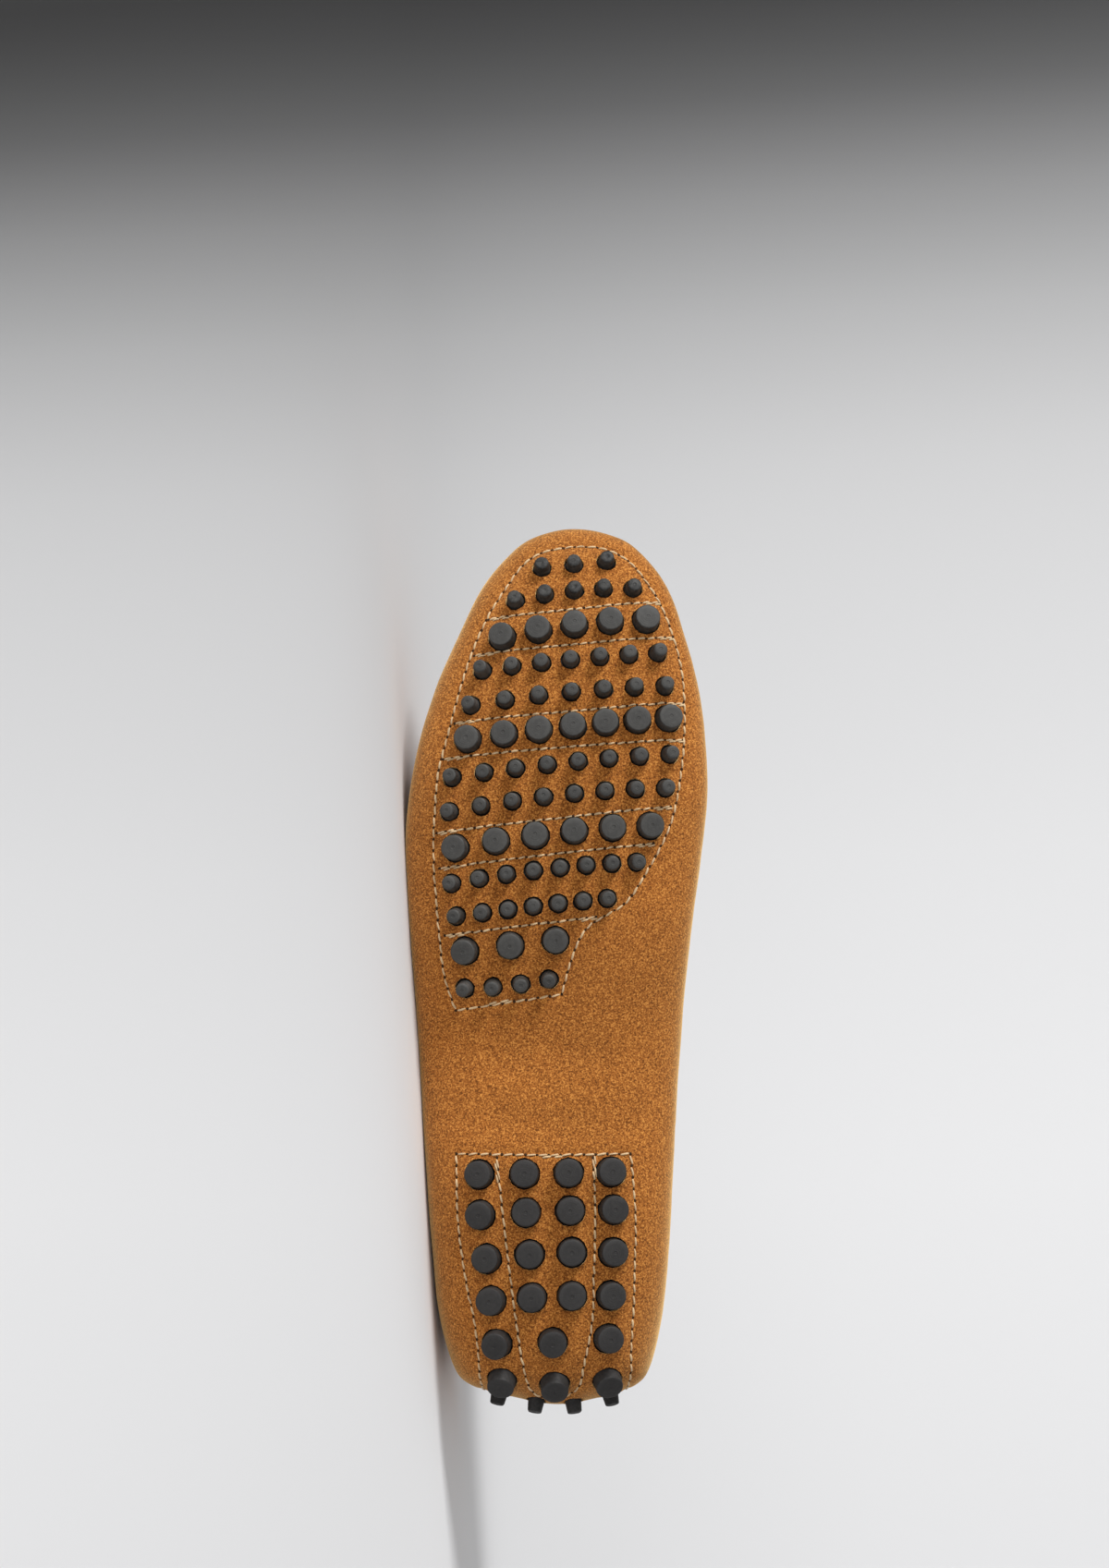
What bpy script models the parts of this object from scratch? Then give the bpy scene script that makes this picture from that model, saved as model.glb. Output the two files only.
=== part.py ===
"""A driving moccasin for the right foot, lying on its outer side.

The shoe is worked out standing on its pegs: toe to +X, inner side to +Y, top to +Z, with the back of
the heel at X = 0 and the ground at Z = 0. At the end every piece is turned by the empty "lying", which
lays the shoe on the outer side that an empty shoe comes to rest on. All lengths are in metres.
"""

import math
from collections import namedtuple

import bmesh
import bpy
from mathutils import Matrix, Vector
from mathutils.bvhtree import BVHTree
from mathutils.interpolate import poly_3d_calc

# Driving dimensions of the last
LENGTH = 0.290
BALL_WIDTH = 0.0983
INSTEP_HEIGHT = 0.061
HEEL_HEIGHT = 0.062
EDGE_HEIGHT = 0.016
TOE_SPRING = 0.018
ARCH_RISE = 0.0045

# Walls and clearances
SUEDE_WALL = 0.0018
APRON_WALL = 0.0016
SEAM_LIP = 0.0034
COLLAR_EDGE = 0.0015
FIT_GAP = 0.0003
INSOLE_GAP = 0.0006
PAD_WALL = 0.0018
INSOLE_WALL = 0.003

# Apron and tongue
APRON_CROWN = 0.006
APRON_DIP = 0.001
TONGUE_LENGTH = 0.028
TONGUE_RISE = 0.005
TONGUE_WIDTH = 0.034

# How far the resting side is pressed flat
PRESS_DEPTH = 0.0009

# Where the sole's curves start and stop, as shares of the length
SPRING_START = 0.546
SPRING_POWER = 2.2
ARCH_START = 0.238
ARCH_END = 0.556
HEEL_CENTRE = 0.129
TOE_CENTRE = 0.775
SWING_HEIGHT = 0.035
CAST_HEIGHT = 0.011
BOTTOM_POWER = 2.6

# Angles of the rings between the middle of the bottom and its widest line, in degrees
BOTTOM_ANGLES = (14, 32, 48, 62, 76, 90)
WALL_STEPS = 4
APRON_STEPS = 4
TONGUE_STEPS = 4
LONG_STEP = 0.055

# The side wall's curve, as shares of its rise and of its way inwards: how far it goes straight up, how
# far it drops and leans below a straight rim, and how far it leans below a rim that curls over
WALL_UP = 0.55
RIM_DROP = 0.45
RIM_LEAN = 0.25
CURL_LEAN = 0.62
APRON_FULLNESS = 0.85

# The tongue's outline: where its corners start, how much they take off, and how it spreads and crowns
TONGUE_ROUND = 0.5
TONGUE_TAPER = 0.3
TONGUE_CORNER = 0.25
TONGUE_SPREAD = 1.5
TONGUE_CROWN = 0.3

# A face that may be rested on looks outwards at least this much
OUTER_FACING = 0.6

# Rubber pegs: radius at the root inside the sheet and at the tip, height above the suede
PegKind = namedtuple("PegKind", "root_radius tip_radius height sides")
SMALL = PegKind(0.0030, 0.0023, 0.0047, 6)
BROAD = PegKind(0.0045, 0.0041, 0.0042, 8)
HEEL = PegKind(0.00485, 0.00445, 0.0042, 8)
PEG_ROOT = SUEDE_WALL + FIT_GAP + 0.5 * PAD_WALL

# Sections round the last, heel to toe. along, rim_along: shares of LENGTH. outer, inner: shares of
# BALL_WIDTH, at the widest line and at the rim. edge: share of EDGE_HEIGHT. rim_heel and rim_instep:
# shares of HEEL_HEIGHT and INSTEP_HEIGHT. curl: 0 for a straight wall, 1 for one that curls over.
# lip: share of SEAM_LIP.
Section = namedtuple(
    "Section",
    "name along outer inner edge rim_along rim_outer rim_inner rim_heel rim_instep curl lip")
SECTIONS = (
    Section("heel_back", 0.000, 0.000, 0.000, 1.50, 0.030, 0.000, 0.000, 1.00, 0.00, 0.10, 0.0),
    Section("heel_flat", 0.009, 0.158, 0.155, 1.47, 0.032, 0.092, 0.092, 1.00, 0.00, 0.10, 0.0),
    Section("heel_corner", 0.022, 0.290, 0.262, 1.42, 0.041, 0.180, 0.172, 0.99, 0.00, 0.10, 0.0),
    Section("heel_side", 0.045, 0.348, 0.312, 1.35, 0.063, 0.248, 0.232, 0.97, 0.00, 0.10, 0.0),
    Section("seat_back", 0.103, 0.394, 0.351, 1.22, 0.111, 0.300, 0.280, 0.92, 0.00, 0.12, 0.0),
    Section("seat", 0.183, 0.420, 0.374, 1.10, 0.189, 0.328, 0.304, 0.70, 0.14, 0.15, 0.0),
    Section("waist_back", 0.283, 0.442, 0.391, 1.04, 0.283, 0.338, 0.315, 0.35, 0.45, 0.20, 0.0),
    Section("waist", 0.382, 0.464, 0.408, 1.00, 0.377, 0.330, 0.311, 0.10, 0.71, 0.30, 0.0),
    Section("waist_front", 0.472, 0.483, 0.430, 1.00, 0.459, 0.305, 0.290, 0.00, 0.90, 0.45, 0.0),
    Section("throat", 0.551, 0.501, 0.454, 0.97, 0.526, 0.272, 0.262, 0.00, 1.00, 0.75, 0.2),
    Section("ball_back", 0.626, 0.511, 0.483, 0.94, 0.604, 0.268, 0.264, 0.00, 0.92, 0.95, 1.0),
    Section("ball", 0.695, 0.494, 0.504, 0.90, 0.675, 0.276, 0.284, 0.00, 0.82, 1.00, 1.0),
    Section("toes_back", 0.760, 0.457, 0.497, 0.86, 0.740, 0.272, 0.295, 0.00, 0.755, 1.00, 1.0),
    Section("toes", 0.819, 0.402, 0.472, 0.80, 0.797, 0.250, 0.290, 0.00, 0.715, 1.00, 1.0),
    Section("toes_front", 0.874, 0.332, 0.430, 0.76, 0.846, 0.206, 0.264, 0.00, 0.695, 1.00, 1.0),
    Section("toe_side", 0.927, 0.258, 0.376, 0.73, 0.889, 0.146, 0.224, 0.00, 0.688, 1.00, 1.0),
    Section("toe_corner", 0.965, 0.173, 0.300, 0.71, 0.917, 0.076, 0.170, 0.00, 0.688, 1.00, 1.0),
    Section("toe_flat", 0.989, 0.081, 0.209, 0.70, 0.933, 0.014, 0.108, 0.00, 0.690, 1.00, 1.0),
    Section("toe_tip", 1.000, -0.059, 0.059, 0.70, 0.938, -0.046, 0.046, 0.00, 0.692, 1.00, 1.0),
)
THROAT = [section.name for section in SECTIONS].index("throat")

# Rows of pegs, toe to heel. along: shares of LENGTH. across: shares of BALL_WIDTH, inner side
# positive. bow: share of LENGTH by which the row's middle lies nearer to the toe. slide: share of
# BALL_WIDTH by which it lies nearer to the inner side. swing: degrees by which the row is turned up
# the back of the heel about the heel's centre.
PegRow = namedtuple(
    "PegRow", "kind count outer_along outer_across inner_along inner_across bow slide swing")
FOREFOOT_PEGS = (
    PegRow(SMALL, 3, 0.950, -0.051, 0.958, 0.165, 0.000, 0.000, 0),
    PegRow(SMALL, 5, 0.912, -0.140, 0.926, 0.254, 0.004, 0.000, 0),
    PegRow(BROAD, 5, 0.869, -0.183, 0.889, 0.297, 0.004, 0.000, 0),
    PegRow(SMALL, 7, 0.831, -0.249, 0.851, 0.335, 0.002, 0.002, 0),
    PegRow(SMALL, 7, 0.791, -0.288, 0.813, 0.359, 0.004, 0.012, 0),
    PegRow(BROAD, 7, 0.752, -0.297, 0.776, 0.370, 0.003, 0.015, 0),
    PegRow(SMALL, 8, 0.709, -0.350, 0.735, 0.374, 0.003, 0.006, 0),
    PegRow(SMALL, 8, 0.670, -0.358, 0.697, 0.360, 0.005, 0.005, 0),
    PegRow(BROAD, 6, 0.629, -0.338, 0.654, 0.308, 0.004, 0.007, 0),
    PegRow(SMALL, 8, 0.589, -0.351, 0.613, 0.264, 0.004, 0.009, 0),
    PegRow(SMALL, 7, 0.552, -0.335, 0.572, 0.166, 0.001, 0.005, 0),
    PegRow(BROAD, 3, 0.513, -0.306, 0.525, -0.006, 0.000, 0.000, 0),
    PegRow(SMALL, 4, 0.471, -0.306, 0.481, -0.028, -0.002, 0.000, 0),
)
HEEL_PEGS = (
    PegRow(HEEL, 4, 0.262, -0.258, 0.265, 0.178, 0.000, 0.005, 0),
    PegRow(HEEL, 4, 0.217, -0.254, 0.223, 0.185, 0.001, 0.005, 0),
    PegRow(HEEL, 4, 0.168, -0.233, 0.175, 0.184, 0.003, 0.003, 0),
    PegRow(HEEL, 4, 0.121, -0.218, 0.127, 0.177, 0.002, 0.003, 0),
    PegRow(HEEL, 3, 0.073, -0.199, 0.079, 0.168, -0.001, 0.000, 0),
    PegRow(HEEL, 3, 0.129, -0.183, 0.129, 0.166, 0.000, 0.000, 46),
    PegRow(SMALL, 4, 0.129, -0.193, 0.129, 0.176, 0.000, 0.000, 61),
    PegRow(SMALL, 4, 0.129, -0.193, 0.129, 0.176, 0.000, 0.000, 76),
    PegRow(SMALL, 2, 0.129, -0.070, 0.129, 0.053, 0.000, 0.000, 91),
)

# Outlines of what lies inside, as rows across it. along: share of LENGTH. outer, inner: shares of
# BALL_WIDTH, inner side positive. swing as for the pegs.
SheetRow = namedtuple("SheetRow", "along outer inner swing")
FOREFOOT_SHEET = (
    SheetRow(0.964, -0.066, 0.202, 0),
    SheetRow(0.934, -0.140, 0.275, 0),
    SheetRow(0.894, -0.215, 0.345, 0),
    SheetRow(0.854, -0.270, 0.385, 0),
    SheetRow(0.795, -0.335, 0.412, 0),
    SheetRow(0.735, -0.380, 0.415, 0),
    SheetRow(0.685, -0.400, 0.400, 0),
    SheetRow(0.636, -0.400, 0.355, 0),
    SheetRow(0.596, -0.395, 0.310, 0),
    SheetRow(0.566, -0.390, 0.235, 0),
    SheetRow(0.541, -0.385, 0.110, 0),
    SheetRow(0.507, -0.378, 0.045, 0),
    SheetRow(0.467, -0.365, 0.020, 0),
    SheetRow(0.447, -0.350, 0.010, 0),
)
HEEL_SHEET = (
    SheetRow(0.283, -0.330, 0.240, 0),
    SheetRow(0.238, -0.328, 0.248, 0),
    SheetRow(0.189, -0.318, 0.250, 0),
    SheetRow(0.129, -0.300, 0.250, 0),
    SheetRow(0.089, -0.285, 0.245, 0),
    SheetRow(0.129, -0.270, 0.240, 25),
    SheetRow(0.129, -0.255, 0.235, 38),
    SheetRow(0.129, -0.240, 0.225, 50),
    SheetRow(0.129, -0.234, 0.218, 62),
    SheetRow(0.129, -0.230, 0.214, 77),
    SheetRow(0.129, -0.165, 0.150, 89),
    SheetRow(0.129, -0.125, 0.110, 99),
)
INSOLE_SHEET = (
    SheetRow(0.046, -0.150, 0.140, 0),
    SheetRow(0.060, -0.235, 0.210, 0),
    SheetRow(0.089, -0.285, 0.255, 0),
    SheetRow(0.139, -0.312, 0.275, 0),
    SheetRow(0.209, -0.325, 0.285, 0),
    SheetRow(0.288, -0.335, 0.290, 0),
    SheetRow(0.377, -0.350, 0.300, 0),
    SheetRow(0.467, -0.375, 0.325, 0),
    SheetRow(0.546, -0.395, 0.355, 0),
    SheetRow(0.626, -0.405, 0.385, 0),
    SheetRow(0.695, -0.390, 0.400, 0),
    SheetRow(0.765, -0.350, 0.390, 0),
    SheetRow(0.824, -0.290, 0.365, 0),
    SheetRow(0.874, -0.225, 0.320, 0),
    SheetRow(0.909, -0.160, 0.270, 0),
    SheetRow(0.932, -0.080, 0.200, 0),
)
PAD_COLUMNS = 7
INSOLE_COLUMNS = 6

# Colours
SUEDE_COLOUR = (0.44, 0.205, 0.055, 1.0)
RUBBER_COLOUR = (0.035, 0.036, 0.038, 1.0)
LEATHER_COLOUR = (0.30, 0.17, 0.075, 1.0)


def clear_scene():
    """Remove everything that the file holds."""
    for thing in list(bpy.data.objects):
        bpy.data.objects.remove(thing)


def make_material(name, colour, roughness, metallic=0.0):
    """A plain material for one sub-part."""
    material = bpy.data.materials.new(name)
    material.use_nodes = True
    shader = material.node_tree.nodes["Principled BSDF"]
    shader.inputs["Base Color"].default_value = colour
    shader.inputs["Roughness"].default_value = roughness
    shader.inputs["Metallic"].default_value = metallic
    return material


def add_object(name, mesh, material=None):
    """Put a mesh into the scene as an object."""
    thing = bpy.data.objects.new(name, mesh)
    bpy.context.scene.collection.objects.link(thing)
    if material:
        mesh.materials.append(material)
    return thing


def make_cutter(thing):
    """Mark an object as a tool that isn't part of the shoe."""
    thing.hide_render = True
    thing.display_type = "WIRE"


def add_boolean(target, tool, operation):
    """Combine target with tool by an exact Boolean."""
    modifier = target.modifiers.new(tool.name, "BOOLEAN")
    modifier.operation = operation
    modifier.object = tool
    modifier.solver = "EXACT"


def mesh_from(name, vertices, faces):
    """A mesh from points and faces."""
    mesh = bpy.data.meshes.new(name)
    mesh.from_pydata([tuple(vertex) for vertex in vertices], [], faces)
    mesh.validate()
    mesh.update()
    return mesh


def catmull(before, start, end, after, share):
    """A point on the smooth curve between start and end."""
    square = share * share
    cube = square * share
    return 0.5 * (
        2 * start
        + (end - before) * share
        + (2 * before - 5 * start + 4 * end - after) * square
        + (3 * start - before - 3 * end + after) * cube)


def rocker(along):
    """Height of the middle of the bottom above the ground."""
    share = along / LENGTH
    height = 0.0
    if share > SPRING_START:
        height += TOE_SPRING * ((share - SPRING_START) / (1 - SPRING_START)) ** SPRING_POWER
    if ARCH_START < share < ARCH_END:
        phase = math.pi * (share - ARCH_START) / (ARCH_END - ARCH_START)
        height += ARCH_RISE * math.sin(phase) ** 2
    return height


class Station:
    """One place round the last: its widest point, its rim and its foot on the middle line."""

    def __init__(self, values, side):
        """values are a section's numbers, and side is -1 for the outer side and 1 for the inner."""
        along, outer, inner, edge, rim_along, rim_outer, rim_inner, heel, instep, curl, lip = values
        across = (-outer if side < 0 else inner) * BALL_WIDTH
        rim_across = (-rim_outer if side < 0 else rim_inner) * BALL_WIDTH
        self.wide = Vector((
            along * LENGTH,
            across,
            rocker(along * LENGTH) + edge * EDGE_HEIGHT))
        self.rim = Vector((
            rim_along * LENGTH,
            rim_across,
            heel * HEEL_HEIGHT + instep * INSTEP_HEIGHT))
        self.curl = min(max(curl, 0.0), 1.0)
        self.lip = COLLAR_EDGE + min(max(lip, 0.0), 1.0) * (SEAM_LIP - COLLAR_EDGE)
        self.along = min(max(along, HEEL_CENTRE), TOE_CENTRE)
        self.middle = 0.5 * (inner - outer) * BALL_WIDTH
        self.rim_middle = 0.5 * (rim_inner - rim_outer) * BALL_WIDTH
        self.foot = None

    def bottom_point(self, angle):
        """A point of the bottom, at an angle from the middle (0) to the widest line (90)."""
        turn = math.radians(angle)
        power = 2 / BOTTOM_POWER
        out = math.sin(turn) ** power
        lift = 1 - math.cos(turn) ** power if angle < 90 else 1.0
        place = self.foot.lerp(self.wide, out)
        base = rocker(place.x)
        place.z = base + lift * (self.wide.z - rocker(self.wide.x))
        return place

    def wall_point(self, share):
        """A point of the side wall, from the widest line (0) to the rim (1)."""
        rise = self.rim.z - self.wide.z
        inward = Vector((self.rim.x - self.wide.x, self.rim.y - self.wide.y, 0.0))
        first = self.wide + Vector((0, 0, WALL_UP * rise))
        straight = self.rim - Vector((0, 0, RIM_DROP * rise)) - RIM_LEAN * inward
        curled = self.rim - CURL_LEAN * inward
        second = straight.lerp(curled, self.curl)
        back = 1 - share
        return (
            back ** 3 * self.wide
            + 3 * back * back * share * first
            + 3 * back * share * share * second
            + share ** 3 * self.rim)


def side_values():
    """The sections' numbers from heel to toe, with one more between those that lie far apart."""
    rows = [section[1:] for section in SECTIONS]
    marks = []
    values = []
    for index in range(len(rows) - 1):
        start, end = rows[index], rows[index + 1]
        marks.append(len(values))
        values.append(start)
        if end[0] - start[0] < LONG_STEP:
            continue
        before = rows[max(index - 1, 0)]
        after = rows[min(index + 2, len(rows) - 1)]
        values.append(tuple(catmull(*four, 0.5) for four in zip(before, start, end, after)))
    marks.append(len(values))
    values.append(rows[-1])
    return values, marks


def make_stations():
    """Stations all round the last: heel, outer side, toe, inner side. Also those at the throat."""
    values, marks = side_values()
    outer = [Station(row, -1) for row in values]
    inner = [Station(row, 1) for row in values[1:-1]]
    stations = outer + inner[::-1]
    heel_middle = next(s.middle for s in outer if s.wide.x / LENGTH >= HEEL_CENTRE)
    toe_middle = next(s.middle for s in outer if s.wide.x / LENGTH >= TOE_CENTRE)
    for station in stations:
        across = station.middle
        if station.along <= HEEL_CENTRE:
            across = heel_middle
        elif station.along >= TOE_CENTRE:
            across = toe_middle
        along = station.along * LENGTH
        station.foot = Vector((along, across, rocker(along)))
    last = len(values) - 1
    throat = marks[THROAT]
    return stations, throat, 2 * last - throat


def shell_rings(station):
    """The points of one station, from the middle of the bottom to the rim's lip."""
    points = [station.foot.copy()]
    points += [station.bottom_point(angle) for angle in BOTTOM_ANGLES]
    points += [station.wall_point(step / WALL_STEPS) for step in range(1, WALL_STEPS + 1)]
    points.append(station.rim + Vector((0, 0, station.lip)))
    return points


class PointList:
    """Points by number, where one that comes again keeps its first number."""

    def __init__(self):
        """Start with no points."""
        self.points = []
        self.number_of = {}

    def number(self, point):
        """The number of a point."""
        key = tuple(round(value, 7) for value in point)
        if key not in self.number_of:
            self.number_of[key] = len(self.points)
            self.points.append(point)
        return self.number_of[key]


def faces_between(columns):
    """Faces between columns of point numbers, with a corner that comes twice left out."""
    faces = []
    for left, right in zip(columns, columns[1:]):
        for ring in range(len(left) - 1):
            corners = (left[ring], left[ring + 1], right[ring + 1], right[ring])
            face = [corner for place, corner in enumerate(corners) if corner not in corners[:place]]
            if len(face) > 2:
                faces.append(face)
    return faces


def make_shell(name, stations):
    """The outer face of the upper, bottom, sides and back in one, with shared points in the middle."""
    shared = PointList()
    columns = [[shared.number(point) for point in shell_rings(station)] for station in stations]
    mesh = mesh_from(name, shared.points, faces_between(columns + columns[:1]))
    return face_down(mesh)


def face_down(mesh):
    """Turn the open shell's faces so that its bottom faces the ground."""
    form = bmesh.new()
    form.from_mesh(mesh)
    bmesh.ops.recalc_face_normals(form, faces=form.faces)
    lowest = min(form.faces, key=lambda face: face.calc_center_median().z)
    if lowest.normal.z > 0:
        bmesh.ops.reverse_faces(form, faces=form.faces)
    form.to_mesh(mesh)
    form.free()
    return mesh


class Last:
    """Finds places on the upper's outer face, seen from inside the shoe."""

    def __init__(self, mesh):
        """mesh is the upper's outer face."""
        self.form = bmesh.new()
        self.form.from_mesh(mesh)
        self.form.faces.ensure_lookup_table()
        self.form.normal_update()
        self.tree = BVHTree.FromBMesh(self.form)

    def place(self, along, across, swing):
        """The point and outward normal that a ray meets, turned by swing up the back of the heel."""
        turn = math.radians(swing)
        height = SWING_HEIGHT if swing else rocker(along * LENGTH) + CAST_HEIGHT
        origin = Vector((along * LENGTH, across * BALL_WIDTH, height))
        direction = Vector((-math.sin(turn), 0, -math.cos(turn)))
        point, normal, index, _ = self.tree.ray_cast(origin, direction)
        face = self.form.faces[index]
        weights = poly_3d_calc([vertex.co for vertex in face.verts], point)
        smooth = Vector()
        for vertex, weight in zip(face.verts, weights):
            smooth += weight * vertex.normal
        if smooth.dot(normal) < 0:
            smooth = -smooth
        outward = smooth.normalized()
        if outward.dot(direction) < 0:
            outward = -outward
        return point, outward

    def inside(self, along, across, swing, depth):
        """A point at a depth under the outer face."""
        point, outward = self.place(along, across, swing)
        return point - depth * outward


def peg_places(last, rows):
    """Kind, point and outward normal of each peg, in two lists that take turns by the row."""
    turns = ([], [])
    for number, row in enumerate(rows):
        places = turns[number % 2]
        for step in range(row.count):
            share = step / (row.count - 1)
            middle = 4 * share * (1 - share)
            along = row.outer_along + share * (row.inner_along - row.outer_along) + row.bow * middle
            across = row.outer_across + share * (row.inner_across - row.outer_across)
            across += row.slide * middle
            point, outward = last.place(along, across, row.swing)
            places.append((row.kind, point, outward))
    return turns


def ring_points(centre, axis, radius, sides):
    """Points of a circle round an axis."""
    turn = Vector((0, 0, 1)).rotation_difference(axis)
    points = []
    for step in range(sides):
        angle = 2 * math.pi * (step + 0.5) / sides
        flat = Vector((radius * math.cos(angle), radius * math.sin(angle), 0))
        points.append(centre + turn @ flat)
    return points


def add_plug(vertices, faces, low, high, sides):
    """Add a closed plug between two rings of points."""
    start = len(vertices)
    vertices.extend(low)
    vertices.extend(high)
    for step in range(sides):
        following = (step + 1) % sides
        faces.append((start + step, start + following, start + sides + following, start + sides + step))
    faces.append(tuple(start + step for step in reversed(range(sides))))
    faces.append(tuple(start + sides + step for step in range(sides)))


def make_pegs(name, places):
    """Pegs, rooted in the middle of their sheet."""
    vertices, faces = [], []
    for kind, point, outward in places:
        low = ring_points(point - PEG_ROOT * outward, outward, kind.root_radius, kind.sides)
        high = ring_points(point + kind.height * outward, outward, kind.tip_radius, kind.sides)
        add_plug(vertices, faces, low, high, kind.sides)
    return mesh_from(name, vertices, faces)


def make_holes(name, places):
    """Plugs that cut the holes for the pegs through the suede."""
    vertices, faces = [], []
    for kind, point, outward in places:
        radius = kind.root_radius + FIT_GAP / math.cos(math.pi / kind.sides)
        low = ring_points(point - PEG_ROOT * outward, outward, radius, kind.sides)
        high = ring_points(point + SUEDE_WALL * outward, outward, radius, kind.sides)
        add_plug(vertices, faces, low, high, kind.sides)
    return mesh_from(name, vertices, faces)


def make_sheet(name, last, rows, columns, depth, wall):
    """A closed sheet that follows the bottom's inside, at a depth under the outer face."""
    near, far = [], []
    for row in rows:
        for column in range(columns):
            across = row.outer + (row.inner - row.outer) * column / (columns - 1)
            near.append(last.inside(row.along, across, row.swing, depth))
            far.append(last.inside(row.along, across, row.swing, depth + wall))
    count = len(near)
    faces = []
    for row in range(len(rows) - 1):
        for column in range(columns - 1):
            a = row * columns + column
            b, c, d = a + 1, a + columns + 1, a + columns
            faces.append((a, b, c, d))
            faces.append((d + count, c + count, b + count, a + count))
    outline = list(range(columns))
    outline += [row * columns + columns - 1 for row in range(1, len(rows))]
    outline += [(len(rows) - 1) * columns + column for column in reversed(range(columns - 1))]
    outline += [row * columns for row in reversed(range(1, len(rows) - 1))]
    for start, end in zip(outline, outline[1:] + outline[:1]):
        faces.append((end, start, start + count, end + count))
    mesh = mesh_from(name, near + far, faces)
    return face_outwards(mesh)


def face_outwards(mesh):
    """Turn the faces of a closed mesh outwards."""
    form = bmesh.new()
    form.from_mesh(mesh)
    bmesh.ops.recalc_face_normals(form, faces=form.faces)
    if form.calc_volume(signed=True) < 0:
        bmesh.ops.reverse_faces(form, faces=form.faces)
    form.to_mesh(mesh)
    form.free()
    return mesh


def apron_inset(stations, index, distance):
    """The rim point of a station, moved in towards the apron by a distance, level with the rim."""
    before = stations[index - 1].rim
    after = stations[(index + 1) % len(stations)].rim
    tangent = (after - before)
    tangent.z = 0
    inward = Vector((0, 0, 1)).cross(tangent.normalized())
    return stations[index].rim + distance * inward


def spine_points(stations, indices):
    """The apron's middle line, with a point for each of its rim stations."""
    points = []
    for index, opposite in zip(indices, reversed(indices)):
        near, far = stations[index].rim, stations[opposite].rim
        points.append(Vector((near.x, 0.5 * (near.y + far.y), 0.5 * (near.z + far.z) + APRON_CROWN)))
    front = max((point for point in points if point.x <= TOE_CENTRE * LENGTH), key=lambda point: point.x)
    return [point if point.x <= front.x else front for point in points]


def make_apron(name, stations, first, last_index):
    """The apron from one side of the throat round the toe to the other, and its tongue tab."""
    edge = SUEDE_WALL + FIT_GAP + APRON_WALL
    indices = list(range(first, last_index + 1))
    shared = PointList()
    columns = []
    for index, spine in zip(indices, spine_points(stations, indices)):
        foot = apron_inset(stations, index, edge)
        low = foot - Vector((0, 0, APRON_DIP))
        column = [foot + Vector((0, 0, stations[index].lip)), low]
        for step in range(1, APRON_STEPS + 1):
            share = step / APRON_STEPS
            point = low.lerp(spine, share)
            rise = math.sin(0.5 * math.pi * share) ** APRON_FULLNESS
            point.z = low.z + (spine.z - low.z) * rise
            column.append(point)
        columns.append([shared.number(point) for point in column])
    faces = faces_between(columns)
    add_tongue(shared.points, faces, columns[0][1:] + columns[-1][1:-1][::-1])
    mesh = mesh_from(name, shared.points, faces)
    form = bmesh.new()
    form.from_mesh(mesh)
    bmesh.ops.recalc_face_normals(form, faces=form.faces)
    if sum(face.normal.z * face.calc_area() for face in form.faces) < 0:
        bmesh.ops.reverse_faces(form, faces=form.faces)
    form.to_mesh(mesh)
    form.free()
    return mesh


def add_tongue(vertices, faces, row):
    """Carry the apron's rear edge on, back and up, as a tab with round corners."""
    base = [vertices[index].copy() for index in row]
    middle = base[len(base) // 2]
    start_half = 0.5 * (base[-1].y - base[0].y)
    for step in range(1, TONGUE_STEPS + 1):
        share = step / TONGUE_STEPS
        half = start_half + (0.5 * TONGUE_WIDTH - start_half) * min(1.0, TONGUE_SPREAD * share)
        rounded = max(0.0, share - TONGUE_ROUND) / (1 - TONGUE_ROUND)
        half *= 1 - TONGUE_TAPER * rounded ** 2
        line = []
        for place, point in enumerate(base):
            side = 2 * place / (len(base) - 1) - 1
            back = TONGUE_LENGTH * (share - TONGUE_CORNER * rounded * side * side)
            tuck = (1 - share) * (point.z - middle.z)
            crown = -TONGUE_CROWN * half * side * side * share
            line.append(len(vertices))
            vertices.append(Vector((
                point.x - back,
                middle.y + side * half,
                middle.z + tuck + crown + TONGUE_RISE * share)))
        for place in range(len(row) - 1):
            faces.append((row[place], row[place + 1], line[place + 1], line[place]))
        row = line


def evaluated_form(thing):
    """The final shape of an object as a bmesh."""
    graph = bpy.context.evaluated_depsgraph_get()
    form = bmesh.new()
    form.from_object(thing, graph)
    bmesh.ops.triangulate(form, faces=form.faces)
    return form


def centre_of_mass(forms):
    """The centre of several closed shapes of one density."""
    total = 0.0
    moment = Vector()
    for form in forms:
        for face in form.faces:
            a, b, c = (vertex.co for vertex in face.verts)
            volume = a.dot(b.cross(c)) / 6
            total += volume
            moment += volume * (a + b + c) / 4
    return moment / total


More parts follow.
